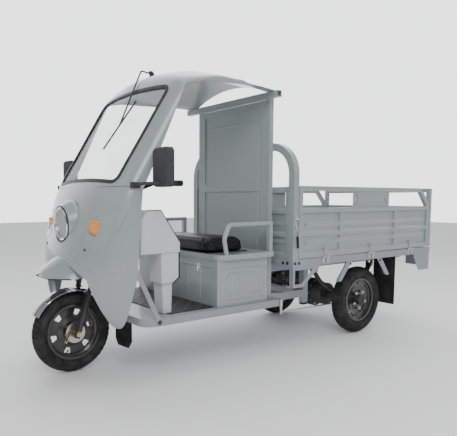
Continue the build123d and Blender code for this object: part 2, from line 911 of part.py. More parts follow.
# ---------------------------------------------------------------- cargo bed
def make_bed():
    """Bed floor with its channel frame and cross members."""
    x0, x1, y = bed_rear_x, bed_front_x, bed_half
    low, top = bed_bottom_z, bed_floor_z
    bed = box(x0, x1, -y, y, low, top)
    bed -= box(x0 + 38, x1 - 38, -y + 38, y - 38, low - 1, top - sheet)
    for sign in (1, -1):
        bed -= box(x0 + 6, x1 - 6, sign * (y - 4), sign * (y - 34), low + 8, top - 8)
    for k in range(1, 6):
        x = x0 + (x1 - x0) * k / 6
        bed += box(x - 20, x + 20, -y + 36, y - 36, top - 34, top - sheet)
    inside = y - gate_thickness - deck_margin
    front = side_gate_front_x - deck_margin
    bed += box(tailgate_front_x + deck_margin, front, -inside, inside, top, top + deck_height)
    add("cargo_bed", bed)


def hinge_line(length):
    """Where the hinge barrels sit along a gate."""
    return [length * share for share in (0.17, 0.5, 0.83)]


def gate_panel(length, slant):
    """A pressed gate standing on its lower edge: X along it, Y outwards, Z up."""
    t = gate_thickness
    mid = gate_mid_z - gate_bottom_z
    top = gate_height
    steps = [
        (0, 0), (34, 0), (44, 12), (mid * 0.40, 12), (mid * 0.44, 0), (mid * 0.5, 0),
        (mid * 0.54, 12), (mid - 34, 12), (mid - 24, 0), (mid, 0),
    ]
    outer = [(t - inset, z) for z, inset in steps]
    inner = [(t - inset - gate_skin - 4, z) for z, inset in reversed(steps)]
    panel = slab(outer + inner, Plane.YZ, 0, length)
    panel += box(0, length, 0, t, mid - gate_rail, mid)
    panel += box(0, length, 0, t, 0, 30)
    rail_end = slant
    panel += box(rail_end, length, 0, t, top - gate_rail, top)
    if slant:
        panel += slab(
            [(0, mid - 60), (0, mid + 20), (slant, top), (slant + 40, top), (gate_rail + 10, mid + 10),
             (gate_rail, mid - 60)],
            Plane.XZ,
            -t,
            0,
        )
    panel += box(length - 34, length, 0, t, 0, top)
    panel += box(0, 34, 0, t, 0, mid if slant else top)
    for share in gate_ribs:
        panel += box(length * share - 22, length * share + 22, 2, t - 1, 0, mid)
    plate = box(length * 0.36, length * 0.64, t - 9, t - 5, mid - 1, top - gate_rail + 1)
    return panel + plate


def gate_hinges(length):
    """Straps and barrels that turn with a gate, and those on the bed, in gate coordinates."""
    moving = None
    fixed = None
    y = gate_thickness + hinge_outset
    for x in hinge_line(length):
        centre = Pos(x, y, -moving_gap)
        hub = centre * Rot(0, 90, 0) * Cylinder(barrel_radius, barrel_length * 0.4)
        strap = box(
            x - barrel_length * 0.2, x + barrel_length * 0.2, gate_thickness, y - 3,
            -moving_gap, 60,
        )
        swing = hub + strap
        hole = centre * Rot(0, 90, 0) * Cylinder(pin_radius + running_gap, 500)
        swing -= hole
        leaf = centre * Rot(0, 90, 0) * Cylinder(pin_radius, barrel_length)
        for sign in (1, -1):
            at = x + sign * (barrel_length * 0.2 + 1 + barrel_length * 0.15)
            leaf += Pos(at, y, -moving_gap) * Rot(0, 90, 0) * Cylinder(
                barrel_radius, barrel_length * 0.3
            )
            leaf += box(
                at - barrel_length * 0.15, at + barrel_length * 0.15, gate_thickness, y - 3,
                -moving_gap - 40, -moving_gap,
            )
        moving = swing if moving is None else moving + swing
        fixed = leaf if fixed is None else fixed + leaf
    return moving, fixed


def make_gates():
    """Left and right drop sides and the tailgate, each with its hinges."""
    leaves = []
    side = gate_panel(side_gate_length, gate_slant)
    moving, fixed = gate_hinges(side_gate_length)
    place = Pos(side_gate_rear_x, bed_half - gate_thickness, gate_bottom_z)
    for name, flip in (("left", False), ("right", True)):
        gate = place * (side + moving)
        leaf = place * fixed
        if flip:
            gate = mirror(gate, about=Plane.XZ)
            leaf = mirror(leaf, about=Plane.XZ)
        add(f"side_gate_{name}", gate)
        leaves.append(leaf)
    tail_length = 2 * bed_half
    moving, fixed = gate_hinges(tail_length)
    turn = Pos(tailgate_front_x, -bed_half, gate_bottom_z) * Rot(0, 0, 90)
    add("tailgate", turn * (gate_panel(tail_length, 0) + moving))
    leaves.append(turn * fixed)
    add("gate_hinge_leaves", *leaves)


def make_hoop():
    """Guard hoop over the front of the bed, and the headboard between its legs."""
    r = hoop_size / 2
    y = bed_half - r
    x = bed_front_x - r
    points = [
        (x, y, bed_floor_z),
        (x, y, hoop_top_z - r),
        (x, -y, hoop_top_z - r),
        (x, -y, bed_floor_z),
    ]
    hoop = square_bar(points, hoop_size, hoop_size, hoop_bend, (1, 0, 0))
    path = bent_path(points, hoop_bend)
    inner = Plane(origin=path @ 0, z_dir=path % 0, x_dir=(1, 0, 0))
    size = hoop_size - 2 * tube_wall
    hoop -= sweep(inner * Rectangle(size, size), path=path)
    add("guard_hoop", hoop)
    width = 2 * (bed_half - hoop_size)
    board = gate_panel(width, 0)
    turn = Pos(x + gate_thickness / 2, width / 2, bed_floor_z) * Rot(0, 0, -90) * Pos(0, -gate_thickness, 0)
    add("headboard", turn * board)


# ---------------------------------------------------------------- chassis and rear axle
def down_tube(margin):
    """The bar from the steering head to the front floor beam, grown by a margin."""
    anchor = on_steer(head_tube_bottom + 110)
    return rod(tuple(anchor), (floor_front_x - 155, 0, lower_rail_z + 25), 22 + margin)


def make_chassis():
    """Lower and upper rails, risers, cross members, steering head and its down tube."""
    y, w = rail_y, rail_width
    frame = None
    pieces = []
    for sign in (1, -1):
        a, b = sign * (y - w / 2), sign * (y + w / 2)
        pieces += [
            box(leg_x - 25, floor_front_x - 130, a, b, lower_rail_z, lower_rail_z + lower_rail_height),
            box(leg_x - 25, leg_x + 25, a, b, leg_bottom_z, bed_bottom_z),
            box(leg_x - 25, bed_rear_x + 60, a, b, bed_bottom_z - 55, bed_bottom_z),
            box(leg_x, post_rear_x, a, b, bed_bottom_z - 55, bed_bottom_z),
            box(post_rear_x - 50, post_rear_x, a, b, lower_rail_z, bed_bottom_z),
        ]
    for x, z in (
        (floor_front_x - 155, lower_rail_z),
        (post_rear_x - 25, lower_rail_z),
        (leg_x, lower_rail_z),
        (leg_x, bed_bottom_z - 50),
        (-1180, bed_bottom_z - 50),
        (bed_rear_x + 90, bed_bottom_z - 50),
    ):
        pieces.append(box(x - 22, x + 22, -y, y, z + 2, z + 48))
    for piece in pieces:
        frame = piece if frame is None else frame + piece
    low = on_steer(head_tube_bottom)
    high = on_steer(head_tube_top)
    head = Plane(origin=low, z_dir=steer) * upright(stem_radius + head_tube_wall, (high - low).length)
    down = down_tube(0)
    bore = Plane(origin=on_steer(400), z_dir=steer) * upright(stem_radius + running_gap, 700)
    frame += head
    frame += down
    for sign in (1, -1):
        frame += rod(
            tuple(on_steer(head_tube_bottom + 140)),
            (cowl_tie_x, sign * (cab_half_width - cab_wall - 6), cowl_tie_z),
            12,
        )
    add("chassis_frame", frame - bore)
    foot = box(leg_x - 22, leg_x + 22, y - 18, y + 18, leg_bottom_z - 16, leg_bottom_z)
    add("leg_rubbers", *pair(foot))


def make_rear_axle():
    """Axle tube with its motor and differential, brake plates and shaft ends."""
    end = rear_wheel_y - 48
    tube = disc(rear_tube_radius, -end, end)
    tube += disc(112, -70, 40) + disc(92, 40, 150)
    tube += disc(drum_radius + 6, end, end + 8) + disc(drum_radius + 6, -end - 8, -end)
    tip = rear_wheel_y + 25
    tube += disc(rear_shaft_radius, -tip, tip)
    for y in (-spring_y - 30, spring_y + 24):
        tube += box(10, 72, y, y + 6, -48, -14)
    centre = Pos(rear_axle_x, 0, rear_tyre_radius)
    add("rear_axle", centre * tube)


def make_springs():
    """Leaf springs over the axle tube, with eyes, hangers and U-bolts."""
    half = spring_span / 2
    seat_z = rear_tyre_radius + rear_tube_radius
    eye_z = bed_bottom_z - 55 - 40
    y0, y1 = spring_y - 25, spring_y + 25
    packs = []
    leaves = None
    for k, share in enumerate((1.0, 0.74, 0.48)):
        low = seat_z + 8 * (2 - k)
        rise = (eye_z - seat_z - 16) * share * share
        reach = half * share
        x = rear_axle_x
        leaf = make_face(
            Wire(
                [
                    ThreePointArc((x - reach, low + rise), (x, low), (x + reach, low + rise)),
                    Line((x + reach, low + rise), (x + reach, low + rise + 8.2)),
                    ThreePointArc(
                        (x + reach, low + rise + 8.2), (x, low + 8.2), (x - reach, low + rise + 8.2)
                    ),
                    Line((x - reach, low + rise + 8.2), (x - reach, low + rise)),
                ]
            )
        )
        solid = extrude(Plane.XZ.offset(-y1) * leaf, amount=y1 - y0)
        leaves = solid if leaves is None else leaves + solid
    for sign in (1, -1):
        x = rear_axle_x + sign * half
        leaves += Pos(x, spring_y, eye_z + 4) * Rot(90, 0, 0) * Cylinder(16, 50)
        leaves += box(x - 16, x + 16, y0, y0 + 8, eye_z, bed_bottom_z - 55)
        leaves += box(x - 16, x + 16, y1 - 8, y1, eye_z, bed_bottom_z - 55)
    leaves += box(rear_axle_x - 40, rear_axle_x + 40, y0, y1, seat_z - 8, seat_z + 30)
    leaves -= Pos(rear_axle_x, 0, rear_tyre_radius) * Rot(90, 0, 0) * Cylinder(
        rear_tube_radius, 2000
    )
    packs += pair(leaves)
    add("leaf_springs", *packs)


# ---------------------------------------------------------------- brackets, flaps and rear lamps
def make_brackets():
    """Front corner plates, outriggers and tail brackets under the bed's side channels."""
    top = bed_bottom_z
    corner = slab(
        [(58, top), (-205, top), (-205, top - 16), (-42, top - 140), (56, top - 140)],
        Plane.XZ, -bed_half, -bed_half + 34,
    )
    hole = slab(
        [(38, top - 22), (-140, top - 22), (-30, top - 118), (38, top - 118)],
        Plane.XZ, -bed_half - 5, -bed_half + 60,
    )
    corner -= hole
    corner -= slab(
        [(54, top + 1), (-200, top + 1), (-200, top - 12), (-44, top - 136), (54, top - 136)],
        Plane.XZ, -bed_half + sheet, -bed_half + 60,
    )
    add("corner_brackets", *pair(mirror(corner, about=Plane.XZ)))
    shapes = []
    for x0, x1 in ((outrigger_front_top, outrigger_front_foot), (outrigger_rear_top, outrigger_rear_foot)):
        plate = slab(
            [(x0 - 30, top), (x0 + 30, top), (x1 + 22, top - 140), (x1 - 22, top - 140)],
            Plane.XZ, -bed_half + 4, -bed_half + 4 + sheet,
        )
        flange = slab(
            [(x0 - 30, top), (x0 - 26, top), (x1 - 18, top - 140), (x1 - 22, top - 140)],
            Plane.XZ, -bed_half + 4, -bed_half + 50,
        )
        shapes.append(mirror(plate + flange, about=Plane.XZ))
    tail = slab(
        [(-1399, top), (-1399, top - 22), (-1480, top - 140), (-1632, top - 140), (-1632, top)],
        Plane.XZ, -bed_half + 2, -bed_half + 2 + sheet,
    )
    shapes.append(mirror(tail, about=Plane.XZ))
    add("bed_brackets", *[piece for shape in shapes for piece in pair(shape)])


def make_rear_flaps(front_flaps):
    """Rubber mudflaps behind the rear wheels, and the tail lamps."""
    flap = box(rear_flap_x, rear_flap_x + 5, rear_wheel_y - 75, bed_half - 6, 196, bed_bottom_z)
    add("mudflaps", *front_flaps, *pair(flap))
    back = bed_rear_x + 32
    low = bed_bottom_z - 90
    lamp = box(back - 26, back, 380, 520, low, low + 70)
    lamp = fillet(lamp.edges().filter_by(Axis.X), radius=14)
    plate = box(back, back + sheet, 360, bed_half - 6, low - 20, bed_bottom_z)
    add("tail_lamps", *pair(lamp))
    parts["bed_brackets"] = Compound(children=[*parts["bed_brackets"].solids(), *pair(plate)])


def make_brake_linkage():
    """Parking brake lever and the rods that run back to the rear brakes."""
    x, y, z = brake_pivot
    lever = slab(
        [(x - 14, z + 22), (x + 14, z + 22), (x + 6, z - 78), (x - 6, z - 78)],
        Plane.XZ, -y - 6, -y,
    )
    lever -= Pos(x, 0, z) * disc(3, 0, y)
    pin = Pos(x, 0, z) * disc(9, sill_half_width, y + 8)
    pull = rod((x, y - 5, z - 66), (rear_axle_x + 64, spring_y + 16, rear_tyre_radius - 38), 5)
    add("brake_linkage", *pair(lever + pin), *pair(pull - lever))


if __name__ == "__main__":
    make_front_wheel()
    make_rear_wheel("left", 1)
    make_rear_wheel("right", -1)
    make_fork()
    make_handlebar()
    make_front_mudguard()
    make_cab()
    front_flaps = make_nose()
    make_lamps()
    make_mirrors()
    make_wiper()
    make_floor()
    make_fairing()
    make_struts()
    make_back_panel()
    make_seat()
    make_bed()
    make_gates()
    make_hoop()
    make_chassis()
    make_rear_axle()
    make_springs()
    make_brackets()
    make_rear_flaps(front_flaps)
    make_brake_linkage()
    os.makedirs("parts", exist_ok=True)
    for node, shape in parts.items():
        export_step(shape, f"parts/{node}.step")
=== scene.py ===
"""Looks of the electric cargo tricycle: finishes, tyres, cushion, fastenings, lamps and stage."""
import logging
import math
from dataclasses import dataclass, field
from enum import Enum
from typing import Any, Iterable, Optional, Sequence, Union

import bmesh
import bpy
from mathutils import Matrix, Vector


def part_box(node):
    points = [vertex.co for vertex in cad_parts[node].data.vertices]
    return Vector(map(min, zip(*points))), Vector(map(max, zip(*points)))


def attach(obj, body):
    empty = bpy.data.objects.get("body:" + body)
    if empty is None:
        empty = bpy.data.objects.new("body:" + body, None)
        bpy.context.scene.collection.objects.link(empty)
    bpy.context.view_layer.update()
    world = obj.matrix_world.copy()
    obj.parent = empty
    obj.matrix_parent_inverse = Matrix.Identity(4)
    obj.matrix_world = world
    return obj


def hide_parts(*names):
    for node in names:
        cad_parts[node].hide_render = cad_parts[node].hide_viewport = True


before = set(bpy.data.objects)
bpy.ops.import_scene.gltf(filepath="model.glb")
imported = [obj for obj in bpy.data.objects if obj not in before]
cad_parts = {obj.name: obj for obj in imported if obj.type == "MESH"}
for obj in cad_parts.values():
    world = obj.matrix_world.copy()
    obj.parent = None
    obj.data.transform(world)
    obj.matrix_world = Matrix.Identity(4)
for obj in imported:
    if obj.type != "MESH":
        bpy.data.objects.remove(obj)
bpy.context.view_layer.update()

LOG = logging.getLogger("tricycle")

Colour = tuple[float, float, float]
ROAD_DUST: Colour = (0.33, 0.31, 0.28)
GLASS_FILM: Colour = (0.62, 0.61, 0.58)
MAT_DUST: Colour = (0.14, 0.13, 0.12)
Value = Union["Signal", float]


# ---------------------------------------------------------------- shader tools
class Signal:
    """A node socket that reads like a number in an expression."""

    def __init__(self, graph: "Graph", socket: bpy.types.NodeSocket) -> None:
        """Keeps the graph that owns the socket."""
        self.graph = graph
        self.socket = socket

    def _math(self, operation: str, first: Value, second: Value = 0.0) -> "Signal":
        """Adds one Math node and returns what it gives."""
        return self.graph.node("ShaderNodeMath", {"operation": operation}, {0: first, 1: second})

    def __add__(self, other: Value) -> "Signal":
        """Sum."""
        return self._math("ADD", self, other)

    __radd__ = __add__

    def __sub__(self, other: Value) -> "Signal":
        """Difference."""
        return self._math("SUBTRACT", self, other)

    def __rsub__(self, other: Value) -> "Signal":
        """Difference from a number."""
        return self._math("SUBTRACT", other, self)

    def __mul__(self, other: Value) -> "Signal":
        """Product."""
        return self._math("MULTIPLY", self, other)

    __rmul__ = __mul__

    def clamp(self) -> "Signal":
        """This value kept between 0 and 1."""
        return self._math("MINIMUM", self._math("MAXIMUM", self, 0.0), 1.0)

    def fold(self, period: float) -> "Signal":
        """A triangle wave of this value, from 0 to half the period."""
        return self._math("PINGPONG", self, period)

    def maximum(self, other: Value) -> "Signal":
        """The greater of two values."""
        return self._math("MAXIMUM", self, other)


class Graph:
    """A node tree, and the one way to add a node to it."""

    def __init__(self, tree: bpy.types.NodeTree) -> None:
        """Keeps the tree that the nodes go into."""
        self.tree = tree

    def node(
        self, kind: str, settings: dict[str, Any], inputs: dict[Any, Any], output: Any = 0
    ) -> Signal:
        """Adds any node.

        Args:
            kind: The node's type.
            settings: What is set on the node before its sockets; "stops" fills a colour ramp.
            inputs: Values or signals by socket name or number.
            output: The output socket's name or number.

        Returns:
            The chosen output as a signal.
        """
        made = self.tree.nodes.new(kind)
        for key, value in settings.items():
            if key == "stops":
                self._fill_ramp(made.color_ramp, value)
            else:
                setattr(made, key, value)
        for key, value in inputs.items():
            self.feed(made.inputs[key], value)
        return Signal(self, made.outputs[output])

    @staticmethod
    def _fill_ramp(ramp: bpy.types.ColorRamp, stops: Sequence[tuple[float, float]]) -> None:
        """Sets a ramp's stops as grey values.

        Args:
            ramp: The ramp.
            stops: Pairs of place and grey level.
        """
        while len(ramp.elements) < len(stops):
            ramp.elements.new(0.5)
        for element, (place, grey) in zip(ramp.elements, stops):
            element.position = place
            element.color = (grey, grey, grey, 1.0)

    def feed(self, socket: bpy.types.NodeSocket, value: Any) -> None:
        """Links a signal to a socket, or sets the socket's own value.

        Args:
            socket: The input socket.
            value: A signal, a number, or a colour of three numbers.
        """
        if isinstance(value, Signal):
            self.tree.links.new(value.socket, socket)
        elif isinstance(value, tuple) and len(value) == 3 and socket.type == "RGBA":
            socket.default_value = (*value, 1.0)
        else:
            socket.default_value = value


class SurfaceGraph(Graph):
    """A new material's nodes, with an output and a Principled shader."""

    def __init__(self, name: str) -> None:
        """Makes the material.

        Args:
            name: The material's name.
        """
        self.material = bpy.data.materials.new(name)
        self.material.use_nodes = True
        super().__init__(self.material.node_tree)
        self.tree.nodes.clear()
        self.output = self.tree.nodes.new("ShaderNodeOutputMaterial")
        self.shader = self.tree.nodes.new("ShaderNodeBsdfPrincipled")
        self.tree.links.new(self.shader.outputs[0], self.output.inputs[0])

    def place(self) -> Signal:
        """Object coordinates, which are metres in the row frame on every piece."""
        return self.node("ShaderNodeTexCoord", {}, {}, "Object")

    def axes(self, place: Signal) -> tuple[Signal, Signal, Signal]:
        """The X, Y and Z of a place."""
        split = self.node("ShaderNodeSeparateXYZ", {}, {0: place}).socket.node
        return tuple(Signal(self, split.outputs[k]) for k in range(3))

    def noise(self, scale: float, detail: float = 3.0, place: Optional[Signal] = None) -> Signal:
        """Noise from 0 to 1 at a scale given as waves per metre."""
        where = place if place is not None else self.place()
        return self.node(
            "ShaderNodeTexNoise", {}, {"Vector": where, "Scale": scale, "Detail": detail}, "Fac"
        )

    def ramp(self, value: Value, stops: Sequence[tuple[float, float]]) -> Signal:
        """A value remapped through grey stops."""
        return self.node("ShaderNodeValToRGB", {"stops": stops}, {"Fac": value})

    def mix(self, mask: Value, first: Any, second: Any) -> Signal:
        """Blends two colours by a mask."""
        return self.node(
            "ShaderNodeMix", {"data_type": "RGBA"}, {0: mask, 6: first, 7: second}, 2
        )

    def edges(self, radius: float) -> Signal:
        """Finds worn edges from the bevelled normal.

        Args:
            radius: How far from an edge the wear reaches, in metres.

        Returns:
            1 on sharp outer edges and 0 on flats.
        """
        soft = self.node("ShaderNodeBevel", {"samples": 4}, {"Radius": radius})
        true = self.node("ShaderNodeNewGeometry", {}, {}, "Normal")
        dot = self.node(
            "ShaderNodeVectorMath", {"operation": "DOT_PRODUCT"}, {0: soft, 1: true}, "Value"
        )
        return ((1.0 - dot) * 6.0).clamp()

    def bump(self, height: Value, strength: float, distance: float) -> None:
        """Feeds a bump to the shader's normal.

        Args:
            height: The bump's height field.
            strength: How strongly it tilts the normal.
            distance: The height that 1 stands for, in metres.
        """
        normal = self.node(
            "ShaderNodeBump", {}, {"Height": height, "Strength": strength, "Distance": distance}
        )
        self.feed(self.shader.inputs["Normal"], normal)

    def set(self, **values: Any) -> None:
        """Feeds the shader's sockets, named with underscores for spaces."""
        for key, value in values.items():
            self.feed(self.shader.inputs[key.replace("_", " ")], value)


# ---------------------------------------------------------------- finishes
@dataclass(frozen=True)
class Paint:
    """Stoved enamel on pressed steel, with faint orange peel, road dust and rubbed edges."""

    name: str
    colour: Colour
    rub: Colour
    roughness: float = 0.30
    coat: float = 0.55
    dust: float = 0.25

    def build(self) -> bpy.types.Material:
        """Builds the enamel.

        Returns:
            The finished material.
        """
        g = SurfaceGraph(self.name)
        cloud = g.ramp(g.noise(2.2, 4.0), [(0.35, 0.0), (0.75, 1.0)])
        shade = tuple(c * 0.90 for c in self.colour)
        base = g.mix(cloud * 0.55, self.colour, shade)
        _, _, z = g.axes(g.place())
        low = (1.0 - z * 1.6).clamp() * g.noise(14.0, 5.0) * self.dust
        base = g.mix(low, base, ROAD_DUST)
        worn = g.edges(0.0015) * g.ramp(g.noise(60.0, 3.0), [(0.5, 0.0), (0.62, 1.0)])
        base = g.mix(worn * 0.55, base, self.rub)
        g.set(
            Base_Color=base,
            Roughness=(g.noise(25.0, 4.0) * 0.12 + (self.roughness - 0.06) + low * 0.3),
            Metallic=0.0,
            Coat_Weight=self.coat,
            Coat_Roughness=0.08,
        )
        g.bump(g.noise(240.0, 2.0), 0.06, 0.0006)
        return g.material


@dataclass(frozen=True)
class Rubber:
    """Moulded black rubber, greyed where it is dusty."""

    name: str
    colour: Colour = (0.018, 0.018, 0.019)
    bloom: Colour = (0.060, 0.058, 0.055)
    roughness: float = 0.62
    grain: float = 700.0

    def build(self) -> bpy.types.Material:
        """Builds the rubber.

        Returns:
            The finished material.
        """
        g = SurfaceGraph(self.name)
        dusty = g.ramp(g.noise(18.0, 6.0), [(0.42, 0.0), (0.78, 1.0)])
        g.set(
            Base_Color=g.mix(dusty * 0.7, self.colour, self.bloom),
            Roughness=g.noise(40.0, 3.0) * 0.2 + (self.roughness - 0.1),
            Specular_IOR_Level=0.22,
        )
        g.bump(g.noise(self.grain, 2.0), 0.25, 0.0004)
        return g.material


@dataclass(frozen=True)
class Metal:
    """Bright or plated metal with fine brushing and smears."""

    name: str
    colour: Colour
    roughness: float
    tarnish: Colour = (0.28, 0.26, 0.24)
    brushed: bool = False

    def build(self) -> bpy.types.Material:
        """Builds the metal.

        Returns:
            The finished material.
        """
        g = SurfaceGraph(self.name)
        smear = g.ramp(g.noise(9.0, 5.0), [(0.45, 0.0), (0.8, 1.0)])
        base = g.mix(smear * 0.35, self.colour, self.tarnish)
        g.set(
            Base_Color=base,
            Metallic=1.0,
            Roughness=g.noise(30.0, 4.0) * 0.14 + self.roughness,
        )
        scale = 900.0 if self.brushed else 320.0
        g.bump(g.noise(scale, 2.0), 0.12 if self.brushed else 0.03, 0.0003)
        return g.material


@dataclass(frozen=True)
class Plastic:
    """Moulded plastic with a fine grain and scuffed edges."""

    name: str
    colour: Colour
    roughness: float = 0.48
    grain: float = 520.0
    grain_depth: float = 0.18

    def build(self) -> bpy.types.Material:
        """Builds the plastic.

        Returns:
            The finished material.
        """
        g = SurfaceGraph(self.name)
        patch = g.ramp(g.noise(5.0, 4.0), [(0.4, 0.0), (0.8, 1.0)])
        lift = tuple(min(1.0, c * 1.25 + 0.02) for c in self.colour)
        base = g.mix(patch * 0.35, self.colour, tuple(c * 0.88 for c in self.colour))
        base = g.mix(g.edges(0.001) * 0.4, base, lift)
        g.set(Base_Color=base, Roughness=g.noise(22.0, 3.0) * 0.16 + (self.roughness - 0.08))
        g.bump(g.noise(self.grain, 3.0), self.grain_depth, 0.0004)
        return g.material


@dataclass(frozen=True)
class Glass:
    """Clear glass or lens plastic with a film of dust."""

    name: str
    colour: Colour
    alpha: float
    roughness: float = 0.03
    dust: float = 0.10

    def build(self) -> bpy.types.Material:
        """Builds the glass as a thin see-through gloss.

        Returns:
            The finished material.
        """
        g = SurfaceGraph(self.name)
        film = g.ramp(g.noise(4.0, 6.0), [(0.4, 0.0), (0.9, 1.0)]) * self.dust
        g.set(
            Base_Color=g.mix(film, self.colour, GLASS_FILM),
            Roughness=g.noise(12.0, 4.0) * 0.05 + self.roughness,
            Alpha=(film + self.alpha).clamp(),
            Specular_IOR_Level=0.8,
            Coat_Weight=1.0,
        )
        return g.material


@dataclass(frozen=True)
class Lens:
    """Coloured lamp lens with moulded prisms."""

    name: str
    colour: Colour
    glow: float = 0.10
    prisms: float = 170.0

    def build(self) -> bpy.types.Material:
        """Builds the lens.

        Returns:
            The finished material.
        """
        g = SurfaceGraph(self.name)
        _, y, z = g.axes(g.place())
        cells = (y * self.prisms).fold(1.0) + (z * self.prisms).fold(1.0)
        deep = tuple(c * 0.45 for c in self.colour)
        base = g.mix((cells * 0.4 + g.noise(30.0) * 0.4).clamp(), deep, self.colour)
        g.set(
            Base_Color=base,
            Emission_Color=base,
            Emission_Strength=self.glow,
            Roughness=g.noise(40.0) * 0.1 + 0.10,
            Coat_Weight=0.9,
        )
        g.bump(cells, 0.5, 0.0012)
        return g.material


@dataclass(frozen=True)
class Vinyl:
    """Black coated seat cloth with a leather grain and a soft sheen."""

    name: str
    colour: Colour = (0.007, 0.007, 0.009)
    rubbed: Colour = (0.018, 0.018, 0.022)
    grain: float = 420.0

    def build(self) -> bpy.types.Material:
        """Builds the coated cloth.

        Returns:
            The finished material.
        """
        g = SurfaceGraph(self.name)
        worn = g.ramp(g.noise(6.0, 5.0), [(0.45, 0.0), (0.8, 1.0)])
        cells = g.node(
            "ShaderNodeTexVoronoi", {"feature": "DISTANCE_TO_EDGE"},
            {"Vector": g.place(), "Scale": self.grain}, "Distance",
        )
        g.set(
            Base_Color=g.mix(worn * 0.5, self.colour, self.rubbed),
            Roughness=g.noise(30.0, 4.0) * 0.16 + 0.36,
            Specular_IOR_Level=0.28,
        )
        g.bump(cells * 1.2 + g.noise(60.0, 3.0) * 0.4, 0.35, 0.0012)
        return g.material


@dataclass(frozen=True)
class GridMat:
    """Ribbed floor rubber with a raised square grid set on the slant."""

    name: str
    pitch: float = 0.055
    rib: float = 0.010
    ground: Colour = (0.010, 0.010, 0.011)
    raised: Colour = (0.070, 0.070, 0.072)

    def build(self) -> bpy.types.Material:
        """Builds the mat.

        Returns:
            The finished material.
        """
        g = SurfaceGraph(self.name)
        x, y, _ = g.axes(g.place())
        lines = []
        for along in (x + y, x - y):
            wave = along.fold(self.pitch)
            lines.append((wave * (-1.0) + self.rib) * (1.0 / self.rib))
        raised = lines[0].maximum(lines[1]).clamp()
        dusty = g.noise(20.0, 5.0)
        base = g.mix(raised * 0.85, self.ground, self.raised)
        base = g.mix(dusty * 0.22, base, MAT_DUST)
        g.set(Base_Color=base, Roughness=dusty * 0.2 + 0.5)
        g.bump(raised + g.noise(500.0) * 0.1, 0.7, 0.0025)
        return g.material


class Finish(Enum):
    """The finishes that the tricycle's pieces take."""

    CAB = Paint("cab_enamel", (0.330, 0.372, 0.374), (0.30, 0.31, 0.31))
    FRAME = Paint("frame_enamel", (0.300, 0.325, 0.372), (0.28, 0.28, 0.29), 0.40, 0.25, 0.45)
    BLACK = Paint("black_enamel", (0.012, 0.012, 0.014), (0.12, 0.12, 0.12), 0.30, 0.5, 0.22)
    CAST = Paint("cast_enamel", (0.020, 0.020, 0.022), (0.16, 0.15, 0.14), 0.55, 0.0, 0.5)
    TYRE = Rubber("tyre_rubber", (0.022, 0.022, 0.023), (0.075, 0.072, 0.068), 0.68, 500.0)
    RUBBER = Rubber("moulded_rubber")
    SEAL = Rubber("seal_rubber", (0.020, 0.022, 0.025), (0.045, 0.046, 0.05), 0.42, 300.0)
    CHROME = Metal("chrome_plate", (0.82, 0.83, 0.84), 0.06)
    DARK_CHROME = Metal("smoked_chrome", (0.36, 0.37, 0.39), 0.10, (0.10, 0.10, 0.11))
    ZINC = Metal("zinc_plate", (0.62, 0.61, 0.58), 0.30, (0.40, 0.36, 0.28), True)
    BRASS = Metal("yellow_passivate", (0.70, 0.52, 0.24), 0.28, (0.36, 0.26, 0.12), True)
    BLACK_PLASTIC = Plastic("black_plastic", (0.018, 0.019, 0.021))
    GREY_PLASTIC = Plastic("grey_plastic", (0.285, 0.312, 0.322), 0.42, 380.0, 0.12)
    GLASS = Glass("screen_glass", (0.55, 0.62, 0.62), 0.10)
    CLEAR_LENS = Glass("clear_lens", (0.85, 0.88, 0.90), 0.16, 0.05, 0.05)
    AMBER = Lens("amber_lens", (0.95, 0.36, 0.03))
    RED = Lens("red_lens", (0.55, 0.02, 0.02))
    VINYL = Vinyl("seat_vinyl")
    MAT = GridMat("floor_mat_rubber")

    def material(self) -> bpy.types.Material:
        """This finish's material, built the first time it is asked for."""
        known = bpy.data.materials.get(self.value.name)
        return known or self.value.build()


def dress(obj: bpy.types.Object, finish: Finish) -> None:
    """Puts one finish on every slot of a piece.

    Args:
        obj: The piece.
        finish: Its finish.
    """
    material = finish.material()
    if not obj.data.materials:
        obj.data.materials.append(material)
    for place in obj.material_slots:
        place.link = "OBJECT"
        place.material = material


